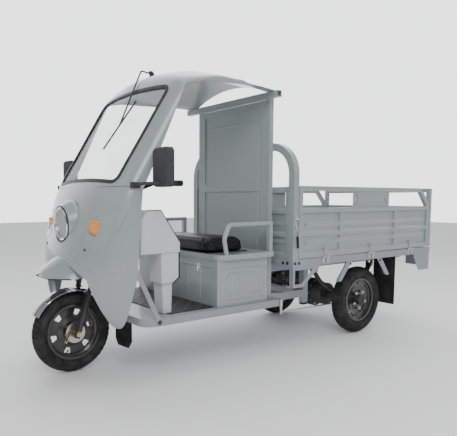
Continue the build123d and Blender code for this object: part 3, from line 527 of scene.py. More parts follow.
NODE_FINISH: dict[str, Finish] = {
    "battery_pack": Finish.BLACK_PLASTIC,
    "bed_brackets": Finish.FRAME,
    "corner_brackets": Finish.FRAME,
    "brake_linkage": Finish.ZINC,
    "cab_back_panel": Finish.CAB,
    "cab_rear_frame": Finish.CAB,
    "cargo_bed": Finish.FRAME,
    "chassis_frame": Finish.FRAME,
    "cowl_struts": Finish.FRAME,
    "floor_mat": Finish.MAT,
    "floor_pan": Finish.FRAME,
    "fork": Finish.BLACK,
    "front_axle": Finish.ZINC,
    "front_cowl": Finish.CAB,
    "front_mudguard": Finish.DARK_CHROME,
    "front_tyre": Finish.TYRE,
    "front_wheel_rim": Finish.BLACK,
    "gate_hinge_leaves": Finish.ZINC,
    "guard_hoop": Finish.CAB,
    "hand_grips": Finish.RUBBER,
    "handlebar": Finish.BLACK,
    "headboard": Finish.CAB,
    "headlamp": Finish.CHROME,
    "headlamp_lens": Finish.CLEAR_LENS,
    "indicators": Finish.AMBER,
    "inner_fairing": Finish.GREY_PLASTIC,
    "leaf_springs": Finish.CAST,
    "leg_rubbers": Finish.RUBBER,
    "mirrors": Finish.BLACK_PLASTIC,
    "mudflaps": Finish.RUBBER,
    "nose_fender": Finish.CAB,
    "rear_axle": Finish.CAST,
    "rear_rim_left": Finish.BLACK,
    "rear_rim_right": Finish.BLACK,
    "rear_tyre_left": Finish.TYRE,
    "rear_tyre_right": Finish.TYRE,
    "roof_shell": Finish.CAB,
    "seat_box": Finish.CAB,
    "seat_frame": Finish.CAB,
    "seat_lid": Finish.BLACK,
    "seat_cushion": Finish.VINYL,
    "side_gate_left": Finish.CAB,
    "side_gate_right": Finish.CAB,
    "tail_lamps": Finish.RED,
    "tailgate": Finish.CAB,
    "windscreen_glass": Finish.GLASS,
    "windscreen_seal": Finish.SEAL,
    "wiper": Finish.BLACK_PLASTIC,
}


# ---------------------------------------------------------------- shape tools
MM = 0.001
EDGE_STEPS = 80      # tries between a node's side and its middle
THINNEST = 0.02      # the least radius of a turned form, so that its tip stays open
Point = Sequence[float]


@dataclass(frozen=True)
class Span:
    """The box round some CAD nodes at rest, in millimetres."""

    lo: Vector
    hi: Vector

    @classmethod
    def of(cls, *nodes: str) -> "Span":
        """Measures the box round nodes.

        Args:
            nodes: The nodes' names.

        Returns:
            The box.
        """
        boxes = [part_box(node) for node in nodes]
        lo = Vector([min(b[0][k] for b in boxes) for k in range(3)]) / MM
        hi = Vector([max(b[1][k] for b in boxes) for k in range(3)]) / MM
        return cls(lo, hi)

    @property
    def centre(self) -> Vector:
        """The middle of the box."""
        return (self.lo + self.hi) / 2

    @property
    def size(self) -> Vector:
        """The box's three lengths."""
        return self.hi - self.lo


def probe(node: str, start: Point, way: Point) -> Optional[tuple[Vector, Vector]]:
    """Looks along a ray for a CAD node.

    Args:
        node: The node's name.
        start: Where the ray starts, in millimetres.
        way: The ray's direction.

    Returns:
        The place in millimetres and the surface's outward normal, or None where nothing is met.
    """
    found, place, normal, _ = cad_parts[node].ray_cast(
        Vector(start) * MM, Vector(way).normalized()
    )
    if not found:
        return None
    if normal.dot(Vector(way)) > 0:
        normal = -normal
    return place / MM, normal


def surface(node: str, start: Point, way: Point) -> tuple[Vector, Vector]:
    """Finds where a ray meets a CAD node that has to be there.

    Args:
        node: The node's name.
        start: Where the ray starts, in millimetres.
        way: The ray's direction.

    Returns:
        The place in millimetres, and the surface's outward normal.
    """
    met = probe(node, start, way)
    if met is None:
        raise ValueError(f"no surface of {node} from {tuple(start)} along {tuple(way)}")
    return met


def rounded_outline(
    centre: Point, half: Point, power: float, count: int, closed: bool = False
) -> list[tuple[float, float]]:
    """Draws a rounded rectangle with one smooth law.

    Args:
        centre: Its middle.
        half: Half its width and half its height.
        power: How square it is, from 1, an ellipse, to near 0, a rectangle.
        count: How many points go round it.
        closed: Whether the first point comes again at the end.

    Returns:
        The points, in order.
    """
    outline = []
    for k in range(count + closed):
        turn = 2 * math.pi * k / count
        cos, sin = math.cos(turn), math.sin(turn)
        outline.append((
            centre[0] + math.copysign(abs(cos) ** power, cos) * half[0],
            centre[1] + math.copysign(abs(sin) ** power, sin) * half[1],
        ))
    return outline


def outermost(node: str, x: float, side: float, top: float, low: float) -> Optional[Vector]:
    """Finds a node's outer edge at one X, looking down on it.

    Args:
        node: The node's name.
        x: The station.
        side: Where the search starts, on the left or the right.
        top: The height the search looks down from.
        low: The lowest height that counts.

    Returns:
        The edge's place, or None where nothing is met.
    """
    for k in range(EDGE_STEPS):
        y = side * (1 - k / EDGE_STEPS)
        met = probe(node, (x, y, top), (0, 0, -1))
        if met and met[0].z > low:
            return met[0]
    return None


def square_to(axis: Point) -> tuple[Vector, Vector]:
    """Finds two unit vectors square to an axis and to each other.

    Args:
        axis: The axis.

    Returns:
        The two vectors.
    """
    along = Vector(axis).normalized()
    helper = Vector((0, 0, 1)) if abs(along.z) < 0.9 else Vector((1, 0, 0))
    across = helper.cross(along).normalized()
    return across, along.cross(across)


def spokes(axis: Point, count: int, first: float = 0.0, closed: bool = False) -> list[Vector]:
    """Spaces unit vectors evenly round an axis.

    Args:
        axis: The axis.
        count: How many go round it.
        first: The first one's angle, in degrees.
        closed: Whether the first one comes again at the end.

    Returns:
        The vectors, in order.
    """
    across, up = square_to(axis)
    turns = [2 * math.pi * k / count + math.radians(first) for k in range(count + closed)]
    return [across * math.cos(turn) + up * math.sin(turn) for turn in turns]


def flowing(points: Sequence[Point], steps: int = 8) -> list[Vector]:
    """Runs a smooth curve through points.

    Args:
        points: The points.
        steps: How many steps each stretch takes.

    Returns:
        The curve's points.
    """
    knots = [Vector(p) for p in points]
    knots = [2 * knots[0] - knots[1], *knots, 2 * knots[-1] - knots[-2]]
    curve = []
    for a, b, c, d in zip(knots, knots[1:], knots[2:], knots[3:]):
        for k in range(steps):
            t = k / steps
            curve.append(
                0.5 * (2 * b + (c - a) * t + (2 * a - 5 * b + 4 * c - d) * t**2
                       + (3 * b - a - 3 * c + d) * t**3)
            )
    return [*curve, knots[-2]]


class Mesher:
    """Gathers the faces of one added piece, in millimetres of the row frame."""

    def __init__(self) -> None:
        """Starts with no faces."""
        self.points: list[Vector] = []
        self.faces: list[tuple[int, ...]] = []

    def add(self, points: Iterable[Point], faces: Iterable[Sequence[int]]) -> None:
        """Adds points and faces.

        Args:
            points: The points.
            faces: Faces that number these points from 0.
        """
        first = len(self.points)
        self.points += [Vector(p) for p in points]
        self.faces += [tuple(first + k for k in face) for face in faces]

    def skin(
        self, rings: Sequence[Sequence[Point]], closed: bool = True, caps: bool = True
    ) -> None:
        """Joins rings of equal length with quads.

        Args:
            rings: The rings in order.
            closed: Whether each ring meets its own start.
            caps: Whether the first and last rings are filled.
        """
        width = len(rings[0])
        points = [p for ring in rings for p in ring]
        faces: list[Sequence[int]] = []
        for k in range(len(rings) - 1):
            for j in range(width if closed else width - 1):
                a, b = k * width + j, k * width + (j + 1) % width
                faces.append((a, b, b + width, a + width))
        if caps:
            faces.append(tuple(reversed(range(width))))
            faces.append(tuple(range(len(points) - width, len(points))))
        self.add(points, faces)

    def lathe(
        self, profile: Sequence[tuple[float, float]], at: Point, axis: Point, segments: int = 32
    ) -> None:
        """Turns a profile about an axis.

        Args:
            profile: Pairs of radius and distance along the axis.
            at: A point on the axis.
            axis: The axis.
            segments: Sides of the turned form.
        """
        way = Vector(axis).normalized()
        origin = Vector(at)
        circle = spokes(axis, segments)
        self.skin([
            [origin + way * along + spoke * max(radius, THINNEST) for spoke in circle]
            for radius, along in profile
        ])

    def tube(
        self, points: Sequence[Point], radius: float, sides: int = 10, flat: float = 1.0,
        thick: Point = (0, 0, 1)
    ) -> None:
        """Sweeps a round or flattened section along a line.

        Args:
            points: The line.
            radius: Half the section's width.
            sides: Sides of the section.
            flat: Its height as a share of its width.
            thick: The direction that the height stays nearest to.
        """
        line = [Vector(p) for p in points]
        rings = []
        for k, here in enumerate(line):
            before, after = line[max(k - 1, 0)], line[min(k + 1, len(line) - 1)]
            along = (after - before).normalized()
            high = Vector(thick) - along * Vector(thick).dot(along)
            high = high.normalized() if high.length > 0.05 else square_to(along)[0]
            wide = along.cross(high)
            rings.append([
                here + wide * radius * math.cos(2 * math.pi * j / sides)
                + high * radius * flat * math.sin(2 * math.pi * j / sides)
                for j in range(sides)
            ])
        self.skin(rings)

    def prism(
        self, outline: Sequence[tuple[float, float]], at: Point, right: Point, up: Point,
        depth: float
    ) -> None:
        """Extrudes a flat outline.

        Args:
            outline: Pairs of distances along right and up.
            at: The outline's origin.
            right: Its first direction.
            up: Its second direction.
            depth: How far it goes along right x up.
        """
        u, v = Vector(right).normalized(), Vector(up).normalized()
        w = u.cross(v)
        low = [Vector(at) + u * a + v * b for a, b in outline]
        self.skin([low, [p + w * depth for p in low]])

    def hex_head(self, at: Point, normal: Point, across: float = 13.0) -> None:
        """Adds a hexagon bolt head on its washer.

        Args:
            at: The middle of its seat.
            normal: The way it points.
            across: Its width across flats.
        """
        r = across * 0.577
        washer = [
            (r * 0.4, -0.5), (r * 1.35, -0.5), (r * 1.35, 1.2), (r * 1.25, 1.6), (r * 0.5, 1.6),
        ]
        self.lathe(washer, at, normal, 20)
        self.lathe([(r, 1.4), (r, r * 0.75), (r * 0.86, r * 0.86), (0, r * 0.86)], at, normal, 6)

    def dome_head(self, at: Point, normal: Point, radius: float = 6.0) -> None:
        """Adds a domed screw head with a socket.

        Args:
            at: The middle of its seat.
            normal: The way it points.
            radius: Its radius.
        """
        high = radius * 0.62
        profile = [
            (radius, -0.5), (radius, 0.5), (radius * 0.86, high * 0.62), (radius * 0.58, high),
            (radius * 0.36, high), (radius * 0.34, high * 0.35), (0, high * 0.3),
        ]
        self.lathe(profile, at, normal, 18)

    def fasten(
        self, node: str, start: Point, way: Point, size: float, hexagon: bool = False
    ) -> None:
        """Sets a screw or bolt head on a node where a ray meets it, if it does.

        Args:
            node: The node's name.
            start: Where the ray starts.
            way: The ray's direction.
            size: The screw's radius, or the bolt's width across flats.
            hexagon: Whether it is a hexagon bolt.
        """
        met = probe(node, start, way)
        if met is None:
            return
        head = self.hex_head if hexagon else self.dome_head
        head(*met, size)

    def piece(
        self, name: str, body: str, finish: "Finish", bevel: float = 0.0, sharp: float = 32.0,
        slot: str = ""
    ) -> bpy.types.Object:
        """Makes the piece and lets it ride on a body.

        Args:
            name: The piece's name.
            body: The CAD body it rides on.
            finish: Its finish.
            bevel: Width of its rounded edges, in millimetres.
            sharp: Angle in degrees over which an edge stays sharp.
            slot: The record's material slot it belongs to; not used.

        Returns:
            The object.
        """
        mesh = bpy.data.meshes.new(name)
        mesh.from_pydata([tuple(p * MM) for p in self.points], [], self.faces)
        edit = bmesh.new()
        edit.from_mesh(mesh)
        bmesh.ops.recalc_face_normals(edit, faces=edit.faces)
        edit.to_mesh(mesh)
        edit.free()
        mesh.shade_smooth()
        mesh.set_sharp_from_angle(angle=math.radians(sharp))
        obj = bpy.data.objects.new(name, mesh)
        bpy.context.collection.objects.link(obj)
        if bevel:
            rounding = obj.modifiers.new("rounding", "BEVEL")
            rounding.width = bevel * MM
            rounding.segments = 2
            rounding.limit_method = "ANGLE"
            rounding.angle_limit = math.radians(sharp)
        dress(obj, finish)
        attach(obj, body)
        LOG.info("added %s: %d faces on %s", name, len(self.faces), body)
        return obj


# ---------------------------------------------------------------- tyres and wheels
@dataclass
class TreadedTyre:
    """One tyre with its rounded tread blocks and ringed side walls."""

    node: str
    rim: str
    body: str
    pitches: int
    groove: float = 6.0
    steps: int = 12
    zigzag: tuple[float, float] = (0.135, 0.022)    # its place and swing, as shares of the width
    slant: float = 0.35
    ring_width: float = 3.6
    slot_width: float = 4.2
    sipe_width: float = 2.2
    centre: Vector = field(init=False)
    radius: float = field(init=False)
    width: float = field(init=False)

    def __post_init__(self) -> None:
        """Takes the tyre's place and size from its CAD node."""
        span = Span.of(self.node)
        self.centre = span.centre
        self.radius = span.size.z / 2
        self.width = span.size.y

    def section(self) -> list[tuple[float, float]]:
        """Draws the tyre's outside from one bead to the other.

        Returns:
            Pairs of radius and distance from the tyre's middle plane.
        """
        bead = self.width * 0.345
        low = Span.of(self.rim).size.z / 2 + 2
        half, top = self.width / 2, self.radius
        belly = (top + low) / 2
        wall = [
            (low, bead), (low + 5, bead + 2.5), (low + 7, bead + 1.2), (belly - 20, half * 0.955),
            (belly - 8, half * 0.992), (belly + 6, half * 0.995), (belly + 12, half * 0.975),
            (belly + 13, half * 0.995), (belly + 17, half * 0.990), (belly + 18, half * 0.955),
            (top - self.width * 0.15, half * 0.80),
        ]
        crown = []
        for k in range(-18, 19):
            side = k / 18 * self.width * 0.37
            crown.append((top - self.width * 0.12 * abs(k / 18) ** 2.2, side))
        left = [(r, -y) for r, y in wall]
        return [*left, *crown, *reversed(wall)]

    def depth(self, turn: float, side: float) -> float:
        """Works out how deep the tread is cut at a place.

        Args:
            turn: The place round the tyre, from 0 to 1.
            side: The place across it, in millimetres.

        Returns:
            The depth, from 0 to 1.
        """
        share = turn * self.pitches
        pitch = 2 * math.pi * self.radius / self.pitches
        out = abs(side) / self.width
        place, swing = self.zigzag
        zigzag = self.width * (place + swing * math.sin(2 * math.pi * share))
        ring = max(0.0, 1.0 - abs(abs(side) - zigzag) / self.ring_width)
        slant = share + self.slant * out + (0.5 if side < 0 else 0.0)
        lateral = abs(slant - round(slant)) * pitch
        cross = max(0.0, 1.0 - lateral / self.slot_width) if out > 0.15 else 0.0
        middle = abs(share + 0.5 - round(share + 0.5)) * pitch
        sipe = 0.6 * max(0.0, 1.0 - middle / self.sipe_width) if out < 0.09 else 0.0
        return min(1.0, 1.8 * max(ring, cross, sipe))

    def build(self) -> bpy.types.Object:
        """Makes the treaded tyre and puts it in place of the plain one.

        Returns:
            The tyre.
        """
        section = self.section()
        count = self.pitches * self.steps
        base = Span.of(self.rim).size.z / 2 - 7
        inner = [(base, self.width * 0.33), (base, -self.width * 0.33)]
        rings = []
        for k in range(count):
            turn = k / count
            cos, sin = math.cos(2 * math.pi * turn), math.sin(2 * math.pi * turn)
            ring = []
            for r, y in [*section, *inner]:
                if r > self.radius - self.width * 0.17:
                    r -= self.groove * self.depth(turn, y)
                ring.append(self.centre + Vector((r * cos, y, r * sin)))
            rings.append(ring)
        shape = Mesher()
        rings.append(rings[0])
        shape.skin(rings, caps=False)
        tyre = shape.piece(f"treaded_{self.node}", self.body, Finish.TYRE, sharp=40.0, slot="tyre")
        edit = bmesh.new()
        edit.from_mesh(tyre.data)
        bmesh.ops.remove_doubles(edit, verts=edit.verts, dist=1e-6)
        edit.to_mesh(tyre.data)
        edit.free()
        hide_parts(self.node)
        return tyre


@dataclass
class WheelTrim:
    """Nuts, valve and hub cap of one wheel."""

    rim: str
    body: str
    outward: int
    nuts: int
    nut_circle: float
    nut_face: float
    cap: tuple[float, ...]     # radius, and its foot and top from the wheel's middle
    first: float = 20.0        # angle of the first nut, in degrees
    nut_size: float = 15.0
    valve_way: tuple[float, float] = (0.31, -0.95)

    def build(self) -> None:
        """Makes the wheel's fastenings and its plain cap."""
        span = Span.of(self.rim)
        centre = span.centre
        axis = (0, self.outward, 0)
        bolts = Mesher()
        for k in range(self.nuts):
            turn = 2 * math.pi * k / self.nuts + math.radians(self.first)
            at = centre + Vector((math.cos(turn), 0, -math.sin(turn))) * self.nut_circle
            at.y = centre.y + self.outward * self.nut_face
            bolts.hex_head(at, axis, self.nut_size)
        bolts.piece(f"{self.rim}_nuts", self.body, Finish.ZINC)
        radius, low, high = self.cap
        cap = Mesher()
        profile = [
            (radius, low), (radius, high - 4), (radius - 3, high), (radius * 0.62, high + 1.5),
            (radius * 0.58, high - 1.0), (radius * 0.30, high - 0.5), (0, high),
        ]
        cap.lathe(profile, centre, axis, 48)
        cap.piece(f"{self.rim}_cap", self.body, Finish.BLACK_PLASTIC)
        valve = Mesher()
        root = centre + Vector((self.valve_way[0], 0, self.valve_way[1])) * (span.size.z / 2 * 0.80)
        root.y = centre.y + self.outward * 14
        tip = root + Vector((-0.06, self.outward * 0.5, 0.45)) * 34
        valve.tube([root, (root + tip) / 2, tip], 3.4, 10)
        valve.lathe([(4.6, -2), (4.6, 7), (3.8, 9), (0, 9.4)], tip, tip - root, 12)
        valve.piece(f"{self.rim}_valve", self.body, Finish.RUBBER)


# ---------------------------------------------------------------- steering
@dataclass
class SteeringTrim:
    """Brake arm, cable, levers, switch pods, grip ribs and the mudguard's edge, which turn."""

    body: str = "steering"
    brake_face: float = 58.0    # from the wheel's middle to the brake plate
    arm_length: float = 74.0
    arm_thickness: float = 5.0
    coils: int = 9
    coil_radius: float = 3.4
    spring_wire: float = 0.9
    cable_radius: float = 3.2
    edge_wire: float = 2.4
    grip_ribs: int = 9
    rib_pitch: float = 10.0
    axle_end: float = 108.5
    perch_from_tip: float = 142.0

    def build(self) -> None:
        """Makes every added piece of the steering."""
        wheel = Span.of("front_tyre").centre
        centre = Vector((wheel.x, 0, wheel.z))
        self._brake(centre)
        self._axle_nuts(centre)
        self._guard_edge(Span.of("front_mudguard"))
        for sign, side in ((1, "left"), (-1, "right")):
            self._lever(Span.of("hand_grips"), sign, side)

    def _brake(self, centre: Vector) -> None:
        """Makes the brake plate's arm with its pins, return spring and cable.

        Args:
            centre: The wheel's middle.
        """
        arm = Mesher()
        pivot = centre + Vector((30, self.brake_face, 18))
        foot = pivot + Vector((34, 3, -66))
        along = (foot - pivot).normalized()
        wide = along.cross(Vector((0, 1, 0))).normalized()
        outline = []
        for share, half in ((-0.12, 10), (0.1, 12), (0.55, 8), (0.9, 9), (1.1, 7)):
            outline.append((share * self.arm_length, half))
        shape = [*outline, *[(a, -b) for a, b in reversed(outline)]]
        arm.prism(shape, pivot, along, wide, self.arm_thickness)
        arm.lathe([(7, -4), (7, 9), (5, 12), (0, 12)], pivot, (0, 1, 0), 6)
        arm.lathe([(5, -3), (5, 10), (3, 12), (0, 12)], foot, (0, 1, 0), 12)
        arm.piece("front_brake_arm", self.body, Finish.BRASS, bevel=0.8)
        spring = Mesher()
        anchor = centre + Vector((-34, self.brake_face, 10))
        line = []
        for k in range(61):
            turn = k / 60 * self.coils * 2 * math.pi
            out = Vector((math.sin(turn) * self.coil_radius, math.cos(turn) * self.coil_radius, 0))
            line.append(foot.lerp(anchor, k / 60) + out)
        spring.tube(line, self.spring_wire, 6)
        spring.piece("front_brake_spring", self.body, Finish.ZINC)
        cable = Mesher()
        route = [
            foot, foot + Vector((-14, 8, 40)), centre + Vector((2, 66, 78)),
            centre + Vector((-44, 70, 138)), centre + Vector((-84, 78, 196)),
        ]
        cable.tube(flowing(route), self.cable_radius, 10)
        cable.piece("front_brake_cable", self.body, Finish.RUBBER)

    def _axle_nuts(self, centre: Vector) -> None:
        """Puts flanged nuts at the axle's ends.

        Args:
            centre: The wheel's middle.
        """
        nuts = Mesher()
        for sign in (1, -1):
            nuts.hex_head(centre + Vector((0, sign * self.axle_end, 0)), (0, sign, 0), 21.0)
        nuts.piece("front_axle_nuts", self.body, Finish.BRASS)

    def _guard_edge(self, guard: Span) -> None:
        """Rolls a wire edge along both sides of the mudguard.

        Args:
            guard: The mudguard's box.
        """
        edge = Mesher()
        for sign in (1, -1):
            line = []
            for k in range(25):
                x = guard.lo.x + 6 + (guard.size.x * 0.80) * k / 24
                place = outermost("front_mudguard", x, sign * guard.hi.y, 900.0, guard.centre.z)
                if place is not None:
                    line.append(place - Vector((0, sign * 0.6, 1.2)))
            if len(line) > 1:
                edge.tube(line, self.edge_wire, 8)
        edge.piece("front_mudguard_edge", self.body, Finish.CHROME)

    def _lever(self, grips: Span, sign: int, side: str) -> None:
        """Makes the brake lever, the switch pod and the ribs of one grip.

        Args:
            grips: The box round both grips.
            sign: 1 on the left and -1 on the right.
            side: The side's name.
        """
        outer = Vector((grips.lo.x + 6, sign * (grips.hi.y - 4), grips.centre.z))
        inner = Vector((outer.x + 100, sign * (grips.hi.y - 154), outer.z))
        along = (inner - outer).normalized()
        ahead = Vector((along.y * sign, -along.x * sign, 0)).normalized()
        ahead = ahead if ahead.x > 0 else -ahead
        perch = outer + along * self.perch_from_tip
        pod = Mesher()
        pod.lathe([(15, -16), (18, -12), (18, 14), (15, 18)], perch + along * 4, along, 20)
        pod.lathe([(16, -10), (16, 10), (12, 14)], perch + along * 38, along, 20)
        block = [(-14, -9), (14, -9), (12, 9), (-12, 9)]
        pod.prism(block, perch + ahead * 10, along, (0, 0, 1), 24)
        pod.piece(f"switch_pod_{side}", self.body, Finish.BLACK_PLASTIC, bevel=2.0)
        lever = Mesher()
        start = perch + ahead * 24 + along * 4
        line = flowing([start, start + ahead * 22 - along * 18, start + ahead * 26 - along * 70,
                        start + ahead * 20 - along * 118])
        lever.tube(line, 6.0, 12, flat=0.55)
        lever.lathe([(8.5, -9), (9.5, -7), (9.5, 7), (8.5, 9)], start, (0, 0, 1), 20)
        tip = line[-1]
        lever.lathe([(6.5, -6), (8, -2), (8, 3), (5, 7), (0, 7.5)], tip, line[-1] - line[-2], 16)
        lever.piece(f"brake_lever_{side}", self.body, Finish.BLACK)
        ribs = Mesher()
        rib = [(16.6, -2.2), (18.2, -1.4), (18.2, 1.4), (16.6, 2.2)]
        for k in range(self.grip_ribs):
            ribs.lathe(rib, outer + along * (18 + k * self.rib_pitch), along, 24)
        ribs.piece(f"grip_ribs_{side}", self.body, Finish.RUBBER)


# ---------------------------------------------------------------- cab
@dataclass
class HeadlampInside:
    """Reflector, projector and gasket of the headlamp."""

    body: str = "cab_and_chassis"
    fall: float = -0.06         # how far the axis drops for each unit forward
    cells: int = 4
    cell_circle: float = 0.64   # a share of the lens's radius
    flutes: int = 24
    gasket: float = 4.2
    centre: Vector = field(init=False)
    axis: Vector = field(init=False)
    radius: float = field(init=False)

    def __post_init__(self) -> None:
        """Takes the lamp's axis and lens size from the CAD."""
        lens = Span.of("headlamp_lens")
        self.centre = lens.centre
        self.radius = lens.size.y / 2
        self.axis = Vector((1, 0, self.fall)).normalized()

    def build(self) -> None:
        """Makes the lamp's inner parts behind its clear lens."""
        bowl = Mesher()
        r = self.radius
        bowl.lathe(
            [(r - 1, -6), (r - 7, -12), (r * 0.80, -20), (r * 0.60, -27), (r * 0.42, -30),
             (r * 0.40, -31), (r - 4, -14), (r - 0.5, -7)],
            self.centre, self.axis, 64)
        bowl.piece("lamp_reflector", self.body, Finish.DARK_CHROME, slot="chrome")
        unit = Mesher()
        unit.lathe(
            [(r * 0.40, -31), (r * 0.40, -12), (r * 0.36, -9), (r * 0.31, -9.5), (r * 0.30, -13),
             (r * 0.24, -9), (r * 0.12, -6.5), (0, -6)],
            self.centre, self.axis, 48)
        unit.piece("lamp_projector", self.body, Finish.CHROME)
        cells = Mesher()
        for spoke in spokes(self.axis, self.cells, 45.0):
            at = self.centre + spoke * r * self.cell_circle
            cells.lathe([(9, -26), (11, -12), (9.5, -10), (7, -12), (0, -13)], at, self.axis, 20)
        cells.piece("lamp_cells", self.body, Finish.CHROME)
        ribs = Mesher()
        for spoke in spokes(self.axis, self.flutes):
            ribs.tube([self.centre + spoke * r * 0.46 - self.axis * 27,
                       self.centre + spoke * r * 0.88 - self.axis * 14], 1.3, 6)
        ribs.piece("lamp_flutes", self.body, Finish.CHROME)
        self._gasket()

    def _gasket(self) -> None:
        """The black rubber ring between the lamp's barrel and the cowl."""
        radius = Span.of("headlamp").size.y / 2 + 4.5
        line = []
        for spoke in spokes(self.axis, 72, closed=True):
            start = self.centre + spoke * radius + self.axis * 60
            place, _ = surface("front_cowl", start, -self.axis)
            line.append(place + self.axis * 0.8)
        ring = Mesher()
        ring.tube(line, self.gasket, 10)
        ring.piece("lamp_gasket", self.body, Finish.SEAL)


@dataclass
class Console:
    """The moulded knee console: caps, bands, pods and posts on both sides of the column."""

    body: str = "cab_and_chassis"
    outer: float = 455.0
    inner: float = 300.0
    column_gap: float = 72.0
    cap: tuple[tuple[float, float], ...] = (
        (1176, 790), (1176, 935), (1129, 985), (1040, 985), (990, 912), (914, 803), (914, 790))
    band: tuple[tuple[float, float], ...] = ((1178, 738), (1178, 803), (910, 803), (910, 738))
    pod: tuple[tuple[float, float], ...] = (
        (1036, 748), (914, 748), (914, 590), (954, 560), (1036, 560))
    post: tuple[tuple[float, float], ...] = ((1020, 566), (946, 566), (952, 376), (1010, 376))
    centre: tuple[tuple[float, float], ...] = (
        (1170, 700), (1170, 930), (1126, 978), (1046, 978), (1046, 700))

    def build(self) -> None:
        """Makes the console in place of its plain form, with black rubber strips along its top and
        rear edges that are partly the edge seal and partly a painted shadow line.
        """
        shape = Mesher()
        blocks = (
            (self.cap, self.outer, self.inner), (self.band, self.outer + 3, self.inner - 6),
            (self.pod, self.outer - 5, self.inner + 10),
            (self.post, self.outer - 28, self.inner + 30),
            (self.centre, self.inner, self.column_gap),
        )
        for outline, high, low in blocks:
            for top in (high, -low):
                shape.prism(outline, (0, top, 0), (1, 0, 0), (0, 0, 1), high - low)
        console = shape.piece(
            "knee_console", self.body, Finish.GREY_PLASTIC, 9.0, 30.0, "grey_plastic"
        )
        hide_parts("inner_fairing")
        # Black rubber strips on the console's top and rear edges: partly the rubber edge seal,
        # partly a painted shadow line along the console's outline.
        strips = Mesher()
        for sign in (1, -1):
            y = sign * (self.outer - 6)
            for line in (self.cap[2:6], self.pod[1:4]):
                strips.tube([Vector((x - 1.5, y, z)) for x, z in line], 4.0, 8)
        strips.piece("console_seal_and_shadow_strips", self.body, Finish.SEAL, slot="rubber")


